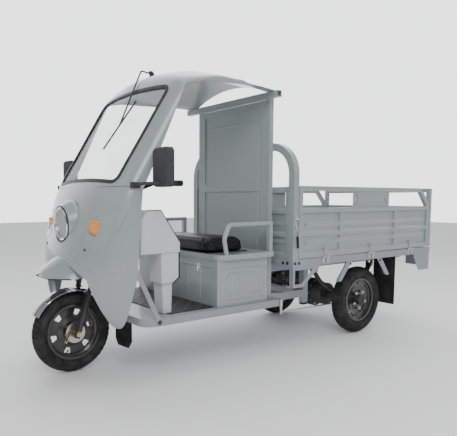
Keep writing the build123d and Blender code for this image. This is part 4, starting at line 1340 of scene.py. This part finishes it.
@dataclass
class CabTrim:
    """Screws, bezels, edge trims and joints of the cab."""

    body: str = "cab_and_chassis"
    eye: tuple[tuple[float, float], ...] = (
        (270.0, 949.0), (221.0, 845.0), (324.0, 787.0), (452.0, 832.0),
        (482.0, 899.0), (492.0, 988.0), (409.0, 974.0), (270.0, 949.0))
    crease: tuple[tuple[float, float], ...] = (
        (126.0, 734.0), (195.0, 710.0), (251.0, 673.0),
        (303.0, 654.0), (389.0, 649.0), (480.0, 649.0))
    cowl_screws: tuple[tuple[float, float], ...] = ((281.0, 768.0), (309.0, 456.0))
    lens_radius: float = 40.6
    glass_width: float = 148.0
    glass_thickness: float = 2.6
    glass_margin: float = 46.0              # how much lower it is than a mirror
    glass_place: tuple[float, float, float] = (3.8, 88.0, 104.5)   # in from face, side and top
    mirror_screws: tuple[float, ...] = (5.0, 49.0)                 # heights over its foot
    seam: tuple[float, float] = (1214.0, 1330.0)    # where the pillars' joint starts and ends
    ahead: float = 2000.0       # rays at the cowl start this far forward
    edging_steps: int = 44

    def build(self) -> None:
        """Makes the cab's small visible pieces."""
        HeadlampInside().build()
        Console().build()
        self._cowl_pressings()
        self._cowl_screws()
        self._indicators()
        self._fender_edge()
        self._struts()
        self._mirrors()
        self._wiper()
        self._seams()

    def _cowl_pressings(self) -> None:
        """Raised lines round the indicators and across the cowl's front."""
        beads = PanelBeads("front_cowl", "cowl_pressings", bead=5.0)
        for sign in (1, -1):
            for outline in (self.eye, self.crease):
                line = [(self.ahead, sign * y, z) for y, z in outline]
                beads.line(line, (-1, 0, 0))
        beads.build()

    def _cowl_screws(self) -> None:
        """The dark screws that hold the cowl's front."""
        screws = Mesher()
        for sign in (1, -1):
            for y, z in self.cowl_screws:
                screws.fasten("front_cowl", (self.ahead, sign * y, z), (-1, 0, 0), 8.0)
        screws.piece("cowl_screws", self.body, Finish.BLACK, slot="black_steel")

    def _indicators(self) -> None:
        """The amber rim round each indicator's lens."""
        lenses = Span.of("indicators")
        rings = Mesher()
        for sign in (1, -1):
            middle = sign * (lenses.hi.y - self.lens_radius)
            start = (lenses.hi.x + 200, middle, lenses.centre.z)
            place, axis = surface("indicators", start, (-1, 0, 0))
            rim = [(37, -3), (38, 1.5), (41, 2.2), (43.5, 0.5), (44.5, -6)]
            rings.lathe(rim, place, axis, 48)
        rings.piece("indicator_rims", self.body, Finish.AMBER, slot="amber")

    def _fender_edge(self) -> None:
        """Black rubber edging round the nose fender's lip."""
        nose = Span.of("nose_fender")
        edge = Mesher()
        line = []
        middle = Vector((nose.lo.x + 75, 0, nose.lo.z + 6))
        for k in range(self.edging_steps + 1):
            turn = math.pi * (k / self.edging_steps - 0.5)
            way = Vector((-math.cos(turn), -math.sin(turn) * 0.95, 0))
            met = probe("nose_fender", middle - way * 400, way)
            if met:
                line.append(met[0] - Vector((0, 0, 3)) + met[1] * 0.8)
        edge.tube(line, 3.4, 8)
        edge.piece("fender_edging", self.body, Finish.SEAL)

    def _struts(self) -> None:
        """Bolts through the feet of the cowl's struts."""
        strut = Span.of("cowl_struts")
        bolts = Mesher()
        for sign in (1, -1):
            foot = (strut.lo.x + 16, sign * 700, strut.lo.z + 14)
            bolts.fasten("cowl_struts", foot, (0, -sign, 0), 17.0, True)
        bolts.piece("strut_bolts", self.body, Finish.BLACK)

    def _mirrors(self) -> None:
        """Mirror glass, foot screws and the ball joint's boot."""
        mirrors = Span.of("mirrors")
        glass = Mesher()
        screws = Mesher()
        boots = Mesher()
        half = (self.glass_width / 2, (mirrors.size.z - self.glass_margin) / 2)
        back, side, down = self.glass_place
        outline = rounded_outline((0, 0), half, 0.45, 32)
        for sign in (1, -1):
            y = sign * (mirrors.hi.y - side)
            middle = Vector((mirrors.lo.x + back, y, mirrors.hi.z - down))
            glass.prism(outline, middle, (0, 1, 0), (0, 0, 1), -self.glass_thickness)
            foot = mirrors.hi.x - 18
            for rise in self.mirror_screws:
                start = (foot, sign * 900, mirrors.lo.z + rise)
                screws.fasten("mirrors", start, (0, -sign, 0), 5.0)
            boots.lathe([(13, -12), (16, -8), (13, -4), (16, 0), (13, 4), (15, 8), (12, 12)],
                        middle + Vector((12, 0, -70)), (0.3, 0, 1), 24)
        glass.piece("mirror_glasses", self.body, Finish.CHROME, slot="chrome")
        screws.piece("mirror_screws", self.body, Finish.BLACK)
        boots.piece("mirror_boots", self.body, Finish.RUBBER)

    def _wiper(self) -> None:
        """The cap over the wiper's spindle."""
        span = Span.of("wiper")
        cap = Mesher()
        top = Vector((span.lo.x + 24, 0, span.hi.z))
        place, _ = surface("wiper", top + Vector((0, 0, 200)), (0, 0, -1))
        cap.lathe([(15, -4), (15, 6), (11, 10), (5, 12), (0, 12.5)], place, (0, 0, 1), 28)
        cap.piece("wiper_cap", self.body, Finish.BLACK_PLASTIC)

    def _seams(self) -> None:
        """The sealed joint between the cowl and the roof's pillars."""
        height = Span.of("front_cowl").hi.z - 2
        first, last = self.seam
        seams = Mesher()
        for sign in (1, -1):
            line = []
            for k in range(13):
                x = first + (last - first) * k / 12
                place, _ = surface("front_cowl", (x, sign * 800, height), (0, -sign, 0))
                line.append(Vector((place.x, place.y, place.z + 2)))
            seams.tube(line, 0.9, 6)
        seams.piece("pillar_seams", self.body, Finish.SEAL)


# ---------------------------------------------------------------- seat
@dataclass
class Cushion:
    """The stuffed seat cushion with piped edges and stitched seams."""

    body: str = "seat"
    voxel: float = 5.5
    pressure: float = 4.0
    swell: float = 14.0         # the furthest that the cloth may move
    frames: int = 20
    floor_band: float = 12.0    # the height that stays held
    crown_room: float = 4.0     # how far the top may rise over the plain block
    skin_gap: float = 0.6
    seam_depth: float = 3.5
    seam_inset: float = 34.0
    seams: tuple[float, ...] = (0.0, 240.0)
    span: Span = field(init=False)

    def __post_init__(self) -> None:
        """Takes the cushion's size from its CAD node."""
        self.span = Span.of("seat_cushion")

    def build(self) -> bpy.types.Object:
        """Makes the cushion in place of the plain block.

        Returns:
            The cushion.
        """
        pad = self._block()
        self._inflate(pad)
        self._press_seams(pad)
        smooth = pad.modifiers.new("smooth", "SUBSURF")
        smooth.levels = smooth.render_levels = 1
        dress(pad, Finish.VINYL)
        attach(pad, self.body)
        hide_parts("seat_cushion")
        self._piping(pad)
        LOG.info("added seat_pad: %d faces on %s", len(pad.data.polygons), self.body)
        return pad

    def _block(self) -> bpy.types.Object:
        """Makes a rounded block a little smaller than the cushion, evenly meshed.

        Returns:
            The block.
        """
        lo, hi = self.span.lo + Vector((6, 6, 2)), self.span.hi - Vector((6, 6, 12))
        shape = Mesher()
        middle = ((lo.x + hi.x) / 2, (lo.y + hi.y) / 2)
        half = ((hi.x - lo.x) / 2, (hi.y - lo.y) / 2)
        outline = rounded_outline(middle, half, 0.25, 48)
        rings = []
        for inset, z in ((10, lo.z), (0, lo.z + 10), (0, hi.z - 10), (10, hi.z)):
            rings.append([
                Vector((x - math.copysign(inset, x - middle[0]),
                        y - math.copysign(inset, y - middle[1]), z))
                for x, y in outline
            ])
        shape.skin(rings)
        mesh = bpy.data.meshes.new("seat_pad")
        mesh.from_pydata([tuple(p * MM) for p in shape.points], [], shape.faces)
        pad = bpy.data.objects.new("seat_pad", mesh)
        bpy.context.collection.objects.link(pad)
        self._apply(pad, "REMESH", mode="VOXEL", voxel_size=self.voxel * MM)
        return pad

    @staticmethod
    def _apply(pad: bpy.types.Object, kind: str, **settings: Any) -> None:
        """Adds a modifier and makes its result the mesh.

        Args:
            pad: The object.
            kind: The modifier's type.
            settings: What is set on the modifier.
        """
        modifier = pad.modifiers.new("step", kind)
        for key, value in settings.items():
            setattr(modifier, key, value)
        depsgraph = bpy.context.evaluated_depsgraph_get()
        made = bpy.data.meshes.new_from_object(pad.evaluated_get(depsgraph))
        pad.modifiers.clear()
        made.name = "seat_pad"
        pad.data = made

    def _inflate(self, pad: bpy.types.Object) -> None:
        """Swells the cloth shell, with its movement capped.

        Args:
            pad: The block.
        """
        rest = [v.co.copy() for v in pad.data.vertices]
        group = pad.vertex_groups.new(name="held")
        floor = min(p.z for p in rest)
        for k, place in enumerate(rest):
            if place.z < floor + self.floor_band * MM:
                group.add([k], 1.0, "REPLACE")
        cloth = pad.modifiers.new("cloth", "CLOTH")
        settings = cloth.settings
        settings.vertex_group_mass = "held"
        settings.use_pressure = True
        settings.uniform_pressure_force = self.pressure
        settings.effector_weights.gravity = 0.0
        settings.quality = 5
        settings.tension_stiffness = settings.compression_stiffness = 12.0
        cloth.point_cache.frame_start, cloth.point_cache.frame_end = 1, self.frames
        scene = bpy.context.scene
        for number in range(1, self.frames + 1):
            scene.frame_set(number)
        depsgraph = bpy.context.evaluated_depsgraph_get()
        grown = pad.evaluated_get(depsgraph).to_mesh()
        moved = [v.co.copy() for v in grown.vertices]
        pad.modifiers.clear()
        pad.vertex_groups.clear()
        scene.frame_set(1)
        gap = self.skin_gap * MM
        lo = [low + gap for low in self.span.lo * MM]
        hi = [high - gap for high in self.span.hi * MM]
        hi[2] += self.crown_room * MM
        for vertex, first, last in zip(pad.data.vertices, rest, moved):
            step = last - first
            if step.length > self.swell * MM:
                step *= self.swell * MM / step.length
            limits = zip(first + step, lo, hi)
            vertex.co = [min(max(value, low), high) for value, low, high in limits]

    def _press_seams(self, pad: bpy.types.Object) -> None:
        """Sinks the cross seams and the seam round the top panel.

        Args:
            pad: The cushion.
        """
        lo, hi = self.span.lo * MM, self.span.hi * MM
        top = max(v.co.z for v in pad.data.vertices)
        inset = self.seam_inset * MM
        for vertex in pad.data.vertices:
            place = vertex.co
            if place.z < top - 0.030:
                continue
            ahead = min(1.0, (place.x - lo.x) / (hi.x - lo.x) * 2)
            crown = 0.5 - 0.5 * math.cos(math.pi * ahead)
            edge = min(place.x - lo.x, hi.x - place.x, place.y - lo.y, hi.y - place.y)
            ring = math.exp(-(((edge - inset) / 0.0055) ** 2))
            lines = sum(
                math.exp(-(((abs(place.y) - seam * MM) / 0.006) ** 2)) for seam in self.seams
            )
            sunk = min(1.0, ring + lines * (edge > inset)) * (0.6 + 0.4 * crown)
            vertex.co.z -= self.seam_depth * MM * sunk

    def _piping(self, pad: bpy.types.Object) -> None:
        """Makes piping cords round the cushion's upper and lower edges.

        Args:
            pad: The cushion.
        """
        depsgraph = bpy.context.evaluated_depsgraph_get()
        shown = pad.evaluated_get(depsgraph)
        middle = self.span.centre
        outline = rounded_outline(middle, self.span.size / 2, 0.3, 120, closed=True)
        cords = Mesher()
        for height in (self.span.size.z * 0.80, self.span.size.z * 0.16):
            line = []
            for x, y in outline:
                target = Vector((x, y, self.span.lo.z + height))
                inner = Vector((middle.x + (target.x - middle.x) * 0.3,
                                middle.y + (target.y - middle.y) * 0.7, target.z))
                way = (inner - target).normalized()
                found, place, _, _ = shown.ray_cast((target - way * 80) * MM, way)
                if found:
                    line.append(place / MM)
            cords.tube(line, 2.6, 8)
        piping = cords.piece("seat_piping", self.body, Finish.VINYL)


@dataclass
class PanelBeads:
    """Pressed beads along closed or open lines on the faces of one node."""

    node: str
    name: str
    body: str = "cab_and_chassis"
    bead: float = 7.0
    step: float = 20.0
    sink: float = 0.4           # how far the bead's middle lies under the face
    shape: Mesher = field(default_factory=Mesher)

    def line(self, corners: Sequence[Point], way: Point) -> None:
        """Lays one bead on the node where rays from the corners' line meet it.

        Args:
            corners: The line's corners, away from the face.
            way: The direction towards the face.
        """
        path = [Vector(p) for p in corners]
        found = []
        for a, b in zip(path, path[1:]):
            count = max(2, int((b - a).length / self.step))
            for k in range(count + 1):
                met = probe(self.node, a.lerp(b, k / count), way)
                if met and (not found or (met[0] - found[-1]).length > 0.5):
                    found.append(met[0] - met[1] * self.sink)
        if len(found) > 1:
            self.shape.tube(found, self.bead, 10, flat=0.55, thick=Vector(way) * -1)

    def build(self, finish: Finish = Finish.CAB, slot: str = "cab_paint") -> None:
        """Makes the beads' piece, where any bead was laid.

        Args:
            finish: The beads' finish.
            slot: The record's material slot they belong to.
        """
        if self.shape.points:
            self.shape.piece(self.name, self.body, finish, slot=slot)


@dataclass
class BackPanelTrim:
    """Pressed lines on the front of the cab's back panel."""

    node: str = "cab_back_panel"
    ahead: float = 900.0        # rays start this far forward

    def build(self) -> None:
        """Makes one line across and one up each side."""
        panel = Span.of(self.node)
        beads = PanelBeads(self.node, "back_panel_beads")
        top, low = panel.hi.z - 130, panel.lo.z + 60
        half = panel.hi.y - 62
        for line in (
            ((-half, top), (half, top)),
            ((-half, low), (-half, top + 70)),
            ((half, low), (half, top + 70)),
        ):
            beads.line([(self.ahead, y, z) for y, z in line], (-1, 0, 0))
        beads.build()


@dataclass
class SeatTrim:
    """Clasps, screws and pressed panels of the seat box and seat frame."""

    body: str = "cab_and_chassis"
    clasps: tuple[float, ...] = (-285.0, 285.0)
    bars: tuple[float, ...] = (-0.62, -0.34, 0.34, 0.62)    # shares of the box's half width
    margin: float = 34.0        # from the box's ends to its side outline
    foot_rise: float = 42.0     # from the box's foot to its pressings
    top_drop: float = 62.0      # from the box's top to its pressings and clasps
    panel_gap: float = 26.0
    panel_inset: float = 30.0
    panel_slope: float = 34.0
    plate: tuple[float, float] = (15.0, 26.0)       # half its width and half its height
    plate_thickness: float = 2.4
    screw_radius: float = 5.0

    def _pressings(self, box: Span) -> None:
        """Makes raised outlines on the box's sides and bars on its front.

        Args:
            box: The seat box's span.
        """
        beads = PanelBeads("seat_box", "seat_box_pressings")
        low, high = box.lo.z + self.foot_rise, box.hi.z - self.top_drop
        back, ahead = box.lo.x + self.margin, box.hi.x - self.margin
        half = (ahead - back) / 2
        for sign in (1, -1):
            y, way = sign * 800, (0, -sign, 0)
            frame_line = [(back, low), (ahead, low), (ahead, high), (back, high), (back, low)]
            beads.line([(x, y, z) for x, z in frame_line], way)
            for k in (0, 1):
                left = back + self.panel_gap + k * half
                right = left + half - 2 * self.panel_gap
                foot, top = low + self.panel_inset, high - self.panel_inset
                panel = [
                    (left, foot), (right, foot), (right - k * self.panel_slope, top),
                    (left + (1 - k) * self.panel_slope, top), (left, foot),
                ]
                beads.line([(x, y, z) for x, z in panel], way)
        start, edge = box.hi.x + 200, box.hi.y - 40
        for share in self.bars:
            y = share * box.hi.y
            beads.line([(start, y, low), (start, y, high)], (-1, 0, 0))
        beads.line([(start, -edge, high + 14), (start, edge, high + 14)], (-1, 0, 0))
        beads.build()

    def _clasps(self, box: Span) -> None:
        """Makes the hasps on the front of the seat box.

        Args:
            box: The seat box's span.
        """
        clasp = Mesher()
        x, z = box.hi.x + 0.2, box.hi.z - self.top_drop
        wide, high = self.plate
        outline = [(-wide, -high), (wide, -high), (wide, high), (-wide, high)]
        for y in self.clasps:
            clasp.prism(outline, (x, y, z), (0, 1, 0), (0, 0, 1), self.plate_thickness)
            bail = [
                (x + 6, y - 9, z + 20), (x + 9, y - 9, z - 14),
                (x + 9, y + 9, z - 14), (x + 6, y + 9, z + 20),
            ]
            clasp.tube(bail, 2.2, 8)
            clasp.lathe([(7, -2), (7, 7), (4, 9), (0, 9)], (x, y, z - 18), (1, 0, 0), 20)
            for dy in (-9, 9):
                clasp.dome_head((x + 2.2, y + dy, z + 19), (1, 0, 0), 3.2)
        clasp.piece("seat_clasps", self.body, Finish.CHROME, bevel=0.6)

    def _screws(self, box: Span, rim: Span) -> None:
        """Sets screws in the box's sides and in the seat frame's feet.

        Args:
            box: The seat box's span.
            rim: The seat frame's span.
        """
        screws = Mesher()
        for sign in (1, -1):
            for x in (box.lo.x + 14, box.hi.x - 14):
                for z in (box.lo.z + 20, box.hi.z - 40):
                    start = (x, sign * 700, z)
                    screws.fasten("seat_box", start, (0, -sign, 0), self.screw_radius)
            foot = Vector((rim.lo.x + 23, sign * 486, rim.lo.z + 32))
            for dx in (-28, 28):
                screws.dome_head(foot + Vector((dx, 0, 0.2)), (0, 0, 1), self.screw_radius)
        screws.piece("seat_screws", self.body, Finish.ZINC)

    def build(self) -> None:
        """Makes the seat box's pressings and fittings."""
        box = Span.of("seat_box")
        self._pressings(box)
        self._clasps(box)
        self._screws(box, Span.of("seat_frame"))


# ---------------------------------------------------------------- cargo bed
@dataclass
class GateTrim:
    """Pressed beads, the upper plate's lines and the strap screws of one gate."""

    node: str
    body: str
    outward: Vector
    along: Vector
    framed: bool
    plate_low: float = 1000.0   # the foot of the closed upper plate
    panel_low: float = 648.0    # the foot of the beaded panel
    beads: tuple[tuple[float, float], ...] = (
        (24.0, 5.0), (104.0, 15.0), (118.0, 6.0), (226.0, 15.0), (240.0, 6.0), (320.0, 5.0))
    straps: tuple[float, ...] = (0.184, 0.517, 0.846)   # shares of the gate's length
    strap_height: float = 690.0
    notch: float = 22.0
    end_gap: float = 0.045      # the part of the length left plain at each end
    samples: int = 32
    reach: float = 200.0        # rays start this far outside

    def build(self) -> None:
        """Makes the gate's pressed lines and fastenings."""
        span = Span.of(self.node)
        length = abs(span.size.dot(Vector([abs(v) for v in self.along])))
        beads = Mesher()
        low = max(span.lo.z, self.panel_low)
        for rise, wide in self.beads:
            line = []
            for k in range(self.samples + 1):
                share = self.end_gap + (1 - 2 * self.end_gap) * k / self.samples
                met = self._meet(span, -length / 2 + length * share, low + rise)
                if met:
                    line.append(met[0] - met[1] * 0.8)
            if len(line) > 1:
                beads.tube(line, wide, 12, flat=0.5, thick=self.outward)
        if beads.points:
            beads.piece(f"{self.node}_beads", self.body, Finish.CAB, slot="cab_paint")
        if self.framed:
            self._plate(span, length)
        self._straps(span, length)

    def _meet(self, span: Span, run: float, z: float) -> Optional[tuple[Vector, Vector]]:
        """Looks for the gate's outer face.

        Args:
            span: The gate's box.
            run: The distance along the gate from its middle.
            z: The height.

        Returns:
            The place and its normal, or None where the gate is open.
        """
        at = span.centre + self.along * run
        at.z = z
        return probe(self.node, at + self.outward * self.reach, -self.outward)

    def _solid_run(self, span: Span, length: float, z: float) -> tuple[float, float]:
        """Finds the longest closed stretch of the gate.

        Args:
            span: The gate's box.
            length: The gate's length.
            z: The height it is looked for at.

        Returns:
            The stretch's ends, as distances from the gate's middle.
        """
        best, first = (0.0, 0.0), None
        for k in range(161):
            share = -length / 2 + length * k / 160
            if self._meet(span, share, z) is None:
                first = None
                continue
            first = share if first is None else first
            if share - first > best[1] - best[0]:
                best = (first, share)
        return best

    def _plate(self, span: Span, length: float) -> None:
        """Lays nested arrow-ended lines on the gate's closed upper plate.

        Args:
            span: The gate's box.
            length: The gate's length.
        """
        low, high = self.plate_low, span.hi.z - 40
        middle = (low + high) / 2
        first, last = self._solid_run(span, length, middle)
        if last - first < 120:
            return
        lines = Mesher()
        for inset in (20, 38):
            a, b = first + inset, last - inset
            lo, hi = low + inset * 0.35, high - inset * 0.35
            outline = [
                (a, hi), (b, hi), (b - self.notch, middle), (b, lo), (a, lo),
                (a + self.notch, middle), (a, hi),
            ]
            met = [self._meet(span, run, z) for run, z in outline]
            if all(met):
                points = [place + self.outward * 0.3 for place, _ in met]
                lines.tube(points, 3.4, 8, flat=0.8, thick=self.outward)
        if lines.points:
            lines.piece(f"{self.node}_arrows", self.body, Finish.CAB, slot="cab_paint")

    def _straps(self, span: Span, length: float) -> None:
        """Puts two screws on each hinge strap; the headboard has none.

        Args:
            span: The gate's box.
            length: The gate's length.
        """
        if self.node == "headboard":
            return
        screws = Mesher()
        for share in self.straps:
            for shift in (-12, 12):
                at = span.centre + self.along * (-length / 2 + length * share + shift)
                at.z = self.strap_height
                screws.fasten(self.node, at + self.outward * self.reach, -self.outward, 5.5)
        screws.piece(f"{self.node}_screws", self.body, Finish.ZINC)


@dataclass
class BedTrim:
    """The gates' trims, the over-centre latches and the bed's bolts."""

    body: str = "cab_and_chassis"
    latch_height: float = 900.0
    latch_base: tuple[float, float, float] = (11.0, 45.0, 902.0)    # half sizes, and its height
    latch_screws: tuple[float, ...] = (868.0, 936.0)
    lever: tuple[tuple[float, float], ...] = ((9, 916), (12, 870), (12, 826), (17, 778))
    sleeve: tuple[tuple[float, float], ...] = ((14.5, 800), (17, 776), (21, 722))
    bolt_height: float = 26.0   # above the bed channel's foot
    bracket_bolts: tuple[float, ...] = (-478.0, -560.0, -930.0, -1005.0)

    def build(self) -> None:
        """Makes the bed's small pieces."""
        fore, side = Vector((1, 0, 0)), Vector((0, 1, 0))
        GateTrim("side_gate_left", "left_gate", side, fore, True).build()
        GateTrim("side_gate_right", "right_gate", -side, fore, True).build()
        GateTrim("tailgate", "tail_gate", -fore, side, False).build()
        GateTrim("headboard", self.body, fore, side, True).build()
        self._latches()
        self._corner_bolts()

    def _latches(self) -> None:
        """Over-centre latches on the hoop's legs, with black grips."""
        hoop = Span.of("guard_hoop")
        plates = Mesher()
        grips = Mesher()
        x = hoop.centre.x
        wide, high, middle = self.latch_base
        base = [(-wide, -high), (wide, -high), (wide, high), (-wide, high)]
        for sign in (1, -1):
            face, _ = surface("guard_hoop", (x, sign * 800, self.latch_height), (0, -sign, 0))
            y = face.y
            plates.prism(base, (x, y, middle), (1, 0, 0), (0, 0, 1), -3 * sign)
            for z in self.latch_screws:
                plates.dome_head((x, y + sign * 2.8, z), (0, sign, 0), 4.5)
            plates.lathe([(6, -12), (6, 12)], (x, y + sign * 9, 916), (1, 0, 0), 20)
            plates.tube(flowing([(x, y + sign * out, z) for out, z in self.lever]), 4.2, 10)
            grips.tube(flowing([(x, y + sign * out, z) for out, z in self.sleeve]), 8.0, 14)
        plates.piece("latch_levers", self.body, Finish.CHROME, slot="chrome")
        grips.piece("latch_grips", self.body, Finish.RUBBER, slot="rubber")

    def _corner_bolts(self) -> None:
        """Black bolts where the hoop and brackets meet the bed's channel."""
        bed = Span.of("cargo_bed")
        bolts = Mesher()
        mid = bed.lo.z + self.bolt_height
        for sign in (1, -1):
            side = (0, -sign, 0)
            for y in (470, 510):
                ahead = (bed.hi.x + 100, sign * y, mid)
                bolts.hex_head(*surface("cargo_bed", ahead, (-1, 0, 0)), 14.0)
            for x in (bed.hi.x - 22, bed.hi.x - 62):
                bolts.fasten("cargo_bed", (x, sign * 700, mid), side, 14.0, True)
            for x in self.bracket_bolts:
                bolts.fasten("bed_brackets", (x, sign * 700, bed.lo.z - 18), side, 12.0, True)
        bolts.piece("bed_bolts", self.body, Finish.BLACK)


# ---------------------------------------------------------------- axle and underside
@dataclass
class AxleTrim:
    """Bolts and fins of the motor case, and the springs' bolts."""

    body: str = "cab_and_chassis"
    bolt_circle: float = 100.0
    case_left: float = 40.6     # the motor case's two faces, by their distance from the middle
    case_right: float = -70.4
    spring_place: float = 300.0
    u_bolt: tuple[float, float] = (28.0, 19.0)      # its legs' places fore and across
    u_bolt_reach: tuple[float, float] = (60.0, 6.0)     # below and above its plate
    eye: tuple[float, float, float] = (16.0, 25.5, 36.0)    # in from the end, out, and down

    def build(self) -> None:
        """Makes the rear axle's fastenings."""
        axle = Span.of("rear_axle")
        springs = Span.of("leaf_springs")
        bolts = Mesher()
        for k in range(10):
            turn = 2 * math.pi * k / 10
            spoke = Vector((math.cos(turn), 0, math.sin(turn)))
            at = axle.centre + spoke * self.bolt_circle
            bolts.hex_head((at.x, self.case_left, at.z), (0, 1, 0), 10.0)
            bolts.hex_head((at.x, self.case_right, at.z), (0, -1, 0), 10.0)
        bolts.piece("motor_bolts", self.body, Finish.ZINC)
        fins = Mesher()
        fin = [(108, -1.6), (117, -1.2), (117, 1.2), (108, 1.6)]
        for y in range(-58, 47, 15):
            fins.lathe(fin, (axle.centre.x, y, axle.centre.z), (0, 1, 0), 72)
        fins.piece("motor_fins", self.body, Finish.CAST)
        ubolts = Mesher()
        (fore, across), (below, above) = self.u_bolt, self.u_bolt_reach
        inward, outward, down = self.eye
        for sign in (1, -1):
            for dx in (-fore, fore):
                for dy in (-across, across):
                    y = sign * self.spring_place + dy
                    foot = Vector((axle.centre.x + dx, y, springs.lo.z + 42))
                    leg = [foot - Vector((0, 0, below)), foot + Vector((0, 0, above))]
                    ubolts.tube(leg, 4.5, 10)
                    ubolts.hex_head(foot - Vector((0, 0, 4)), (0, 0, 1), 14.0)
            for end in (springs.lo.x + inward, springs.hi.x - inward):
                for face in (-1, 1):
                    y = sign * self.spring_place + face * outward
                    ubolts.hex_head((end, y, springs.hi.z - down), (0, face, 0), 15.0)
        ubolts.piece("spring_bolts", self.body, Finish.ZINC)


# ---------------------------------------------------------------- stage
@dataclass
class Stage:
    """Pale floor, soft lights and the camera."""

    floor_size: float = 40.0
    eye: tuple[float, float, float] = (2.6399, 2.9290, 1.0517)
    aim: tuple[float, float, float] = (-0.5832, -0.8068, -0.0946)
    lens: float = 40.72
    shift: tuple[float, float] = (0.0883, 0.0651)
    lamp_aim: float = 0.7       # the height that the lights aim at
    wall_way: Colour = (-0.65, -0.75, -0.1)
    sky: Colour = (0.97, 0.98, 1.0)

    def build(self) -> None:
        """Makes floor, lights, world and camera."""
        mesh = bpy.data.meshes.new("floor")
        half = self.floor_size / 2
        corners = [(-half, -half, 0), (half, -half, 0), (half, half, 0), (-half, half, 0)]
        mesh.from_pydata(corners, [], [(0, 1, 2, 3)])
        floor = bpy.data.objects.new("floor", mesh)
        bpy.context.collection.objects.link(floor)
        g = SurfaceGraph("stage_floor")
        pale = g.mix(g.noise(3.0) * 0.1, (0.93, 0.93, 0.93), (0.88, 0.88, 0.88))
        g.set(Base_Color=pale, Roughness=0.8)
        mesh.materials.append(g.material)
        self._lamp("key", (3.6, 5.2, 4.8), 4.0, 260.0)
        self._lamp("fill", (5.5, -1.5, 3.2), 4.5, 26.0)
        self._lamp("top", (-0.5, 0.5, 6.0), 6.0, 150.0)
        self._lamp("tail", (-5.0, 3.0, 3.0), 4.0, 26.0)
        self._world()
        camera = bpy.data.objects.new("camera", bpy.data.cameras.new("camera"))
        camera.data.lens = self.lens
        camera.data.sensor_width = 36.0
        camera.data.shift_x, camera.data.shift_y = self.shift
        camera.location = self.eye
        camera.rotation_euler = Vector(self.aim).to_track_quat("-Z", "Y").to_euler()
        bpy.context.collection.objects.link(camera)
        bpy.context.scene.camera = camera

    def _lamp(self, name: str, place: Point, size: float, power: float) -> None:
        """Adds one soft area light aimed at the machine.

        Args:
            name: The light's name.
            place: Where it stands, in metres.
            size: Its diameter, in metres.
            power: Its power, in watts.
        """
        light = bpy.data.lights.new(name, "AREA")
        light.shape = "DISK"
        light.size = size
        light.energy = power
        lamp = bpy.data.objects.new(name, light)
        lamp.location = place
        way = Vector((0, 0, self.lamp_aim)) - Vector(place)
        lamp.rotation_euler = way.to_track_quat("-Z", "Y").to_euler()
        bpy.context.collection.objects.link(lamp)

    def _world(self) -> None:
        """A dim room whose far wall is pale, fixed in the room's own axes."""
        world = bpy.data.worlds.new("studio")
        world.use_nodes = True
        g = Graph(world.node_tree)
        where = g.node("ShaderNodeTexCoord", {}, {}, "Generated")
        facing = g.node(
            "ShaderNodeVectorMath", {"operation": "DOT_PRODUCT"}, {0: where, 1: self.wall_way},
            "Value",
        )
        wall = g.node(
            "ShaderNodeMapRange", {"interpolation_type": "SMOOTHSTEP"},
            {0: facing, 1: 0.0, 2: 0.8, 3: 0.20, 4: 2.7},
        )
        background = g.tree.nodes["Background"]
        g.feed(background.inputs["Color"], self.sky)
        g.feed(background.inputs["Strength"], wall)
        bpy.context.scene.world = world


def dress_frame() -> None:
    """Gives every carried-over CAD node its finish."""
    for name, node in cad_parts.items():
        dress(node, NODE_FINISH[name])
        LOG.info("dressed %s", name)


def main() -> None:
    """Builds the stage, dresses the frame and adds each sub-assembly."""
    logging.basicConfig(level=logging.INFO, format="%(message)s")
    Stage().build()
    dress_frame()
    TreadedTyre("front_tyre", "front_wheel_rim", "front_wheel", 44).build()
    for side, outward in (("left", 1), ("right", -1)):
        body = f"rear_wheel_{side}"
        TreadedTyre(f"rear_tyre_{side}", f"rear_rim_{side}", body, 46).build()
        WheelTrim(f"rear_rim_{side}", body, outward, 5, 68.0, 32.0, (40.0, 40.0, 52.0)).build()
    WheelTrim("front_wheel_rim", "front_wheel", 1, 6, 50.0, 13.5, (20.0, 28.0, 34.0)).build()
    SteeringTrim().build()
    CabTrim().build()
    Cushion().build()
    SeatTrim().build()
    BackPanelTrim().build()
    BedTrim().build()
    AxleTrim().build()


if __name__ == "__main__":
    main()
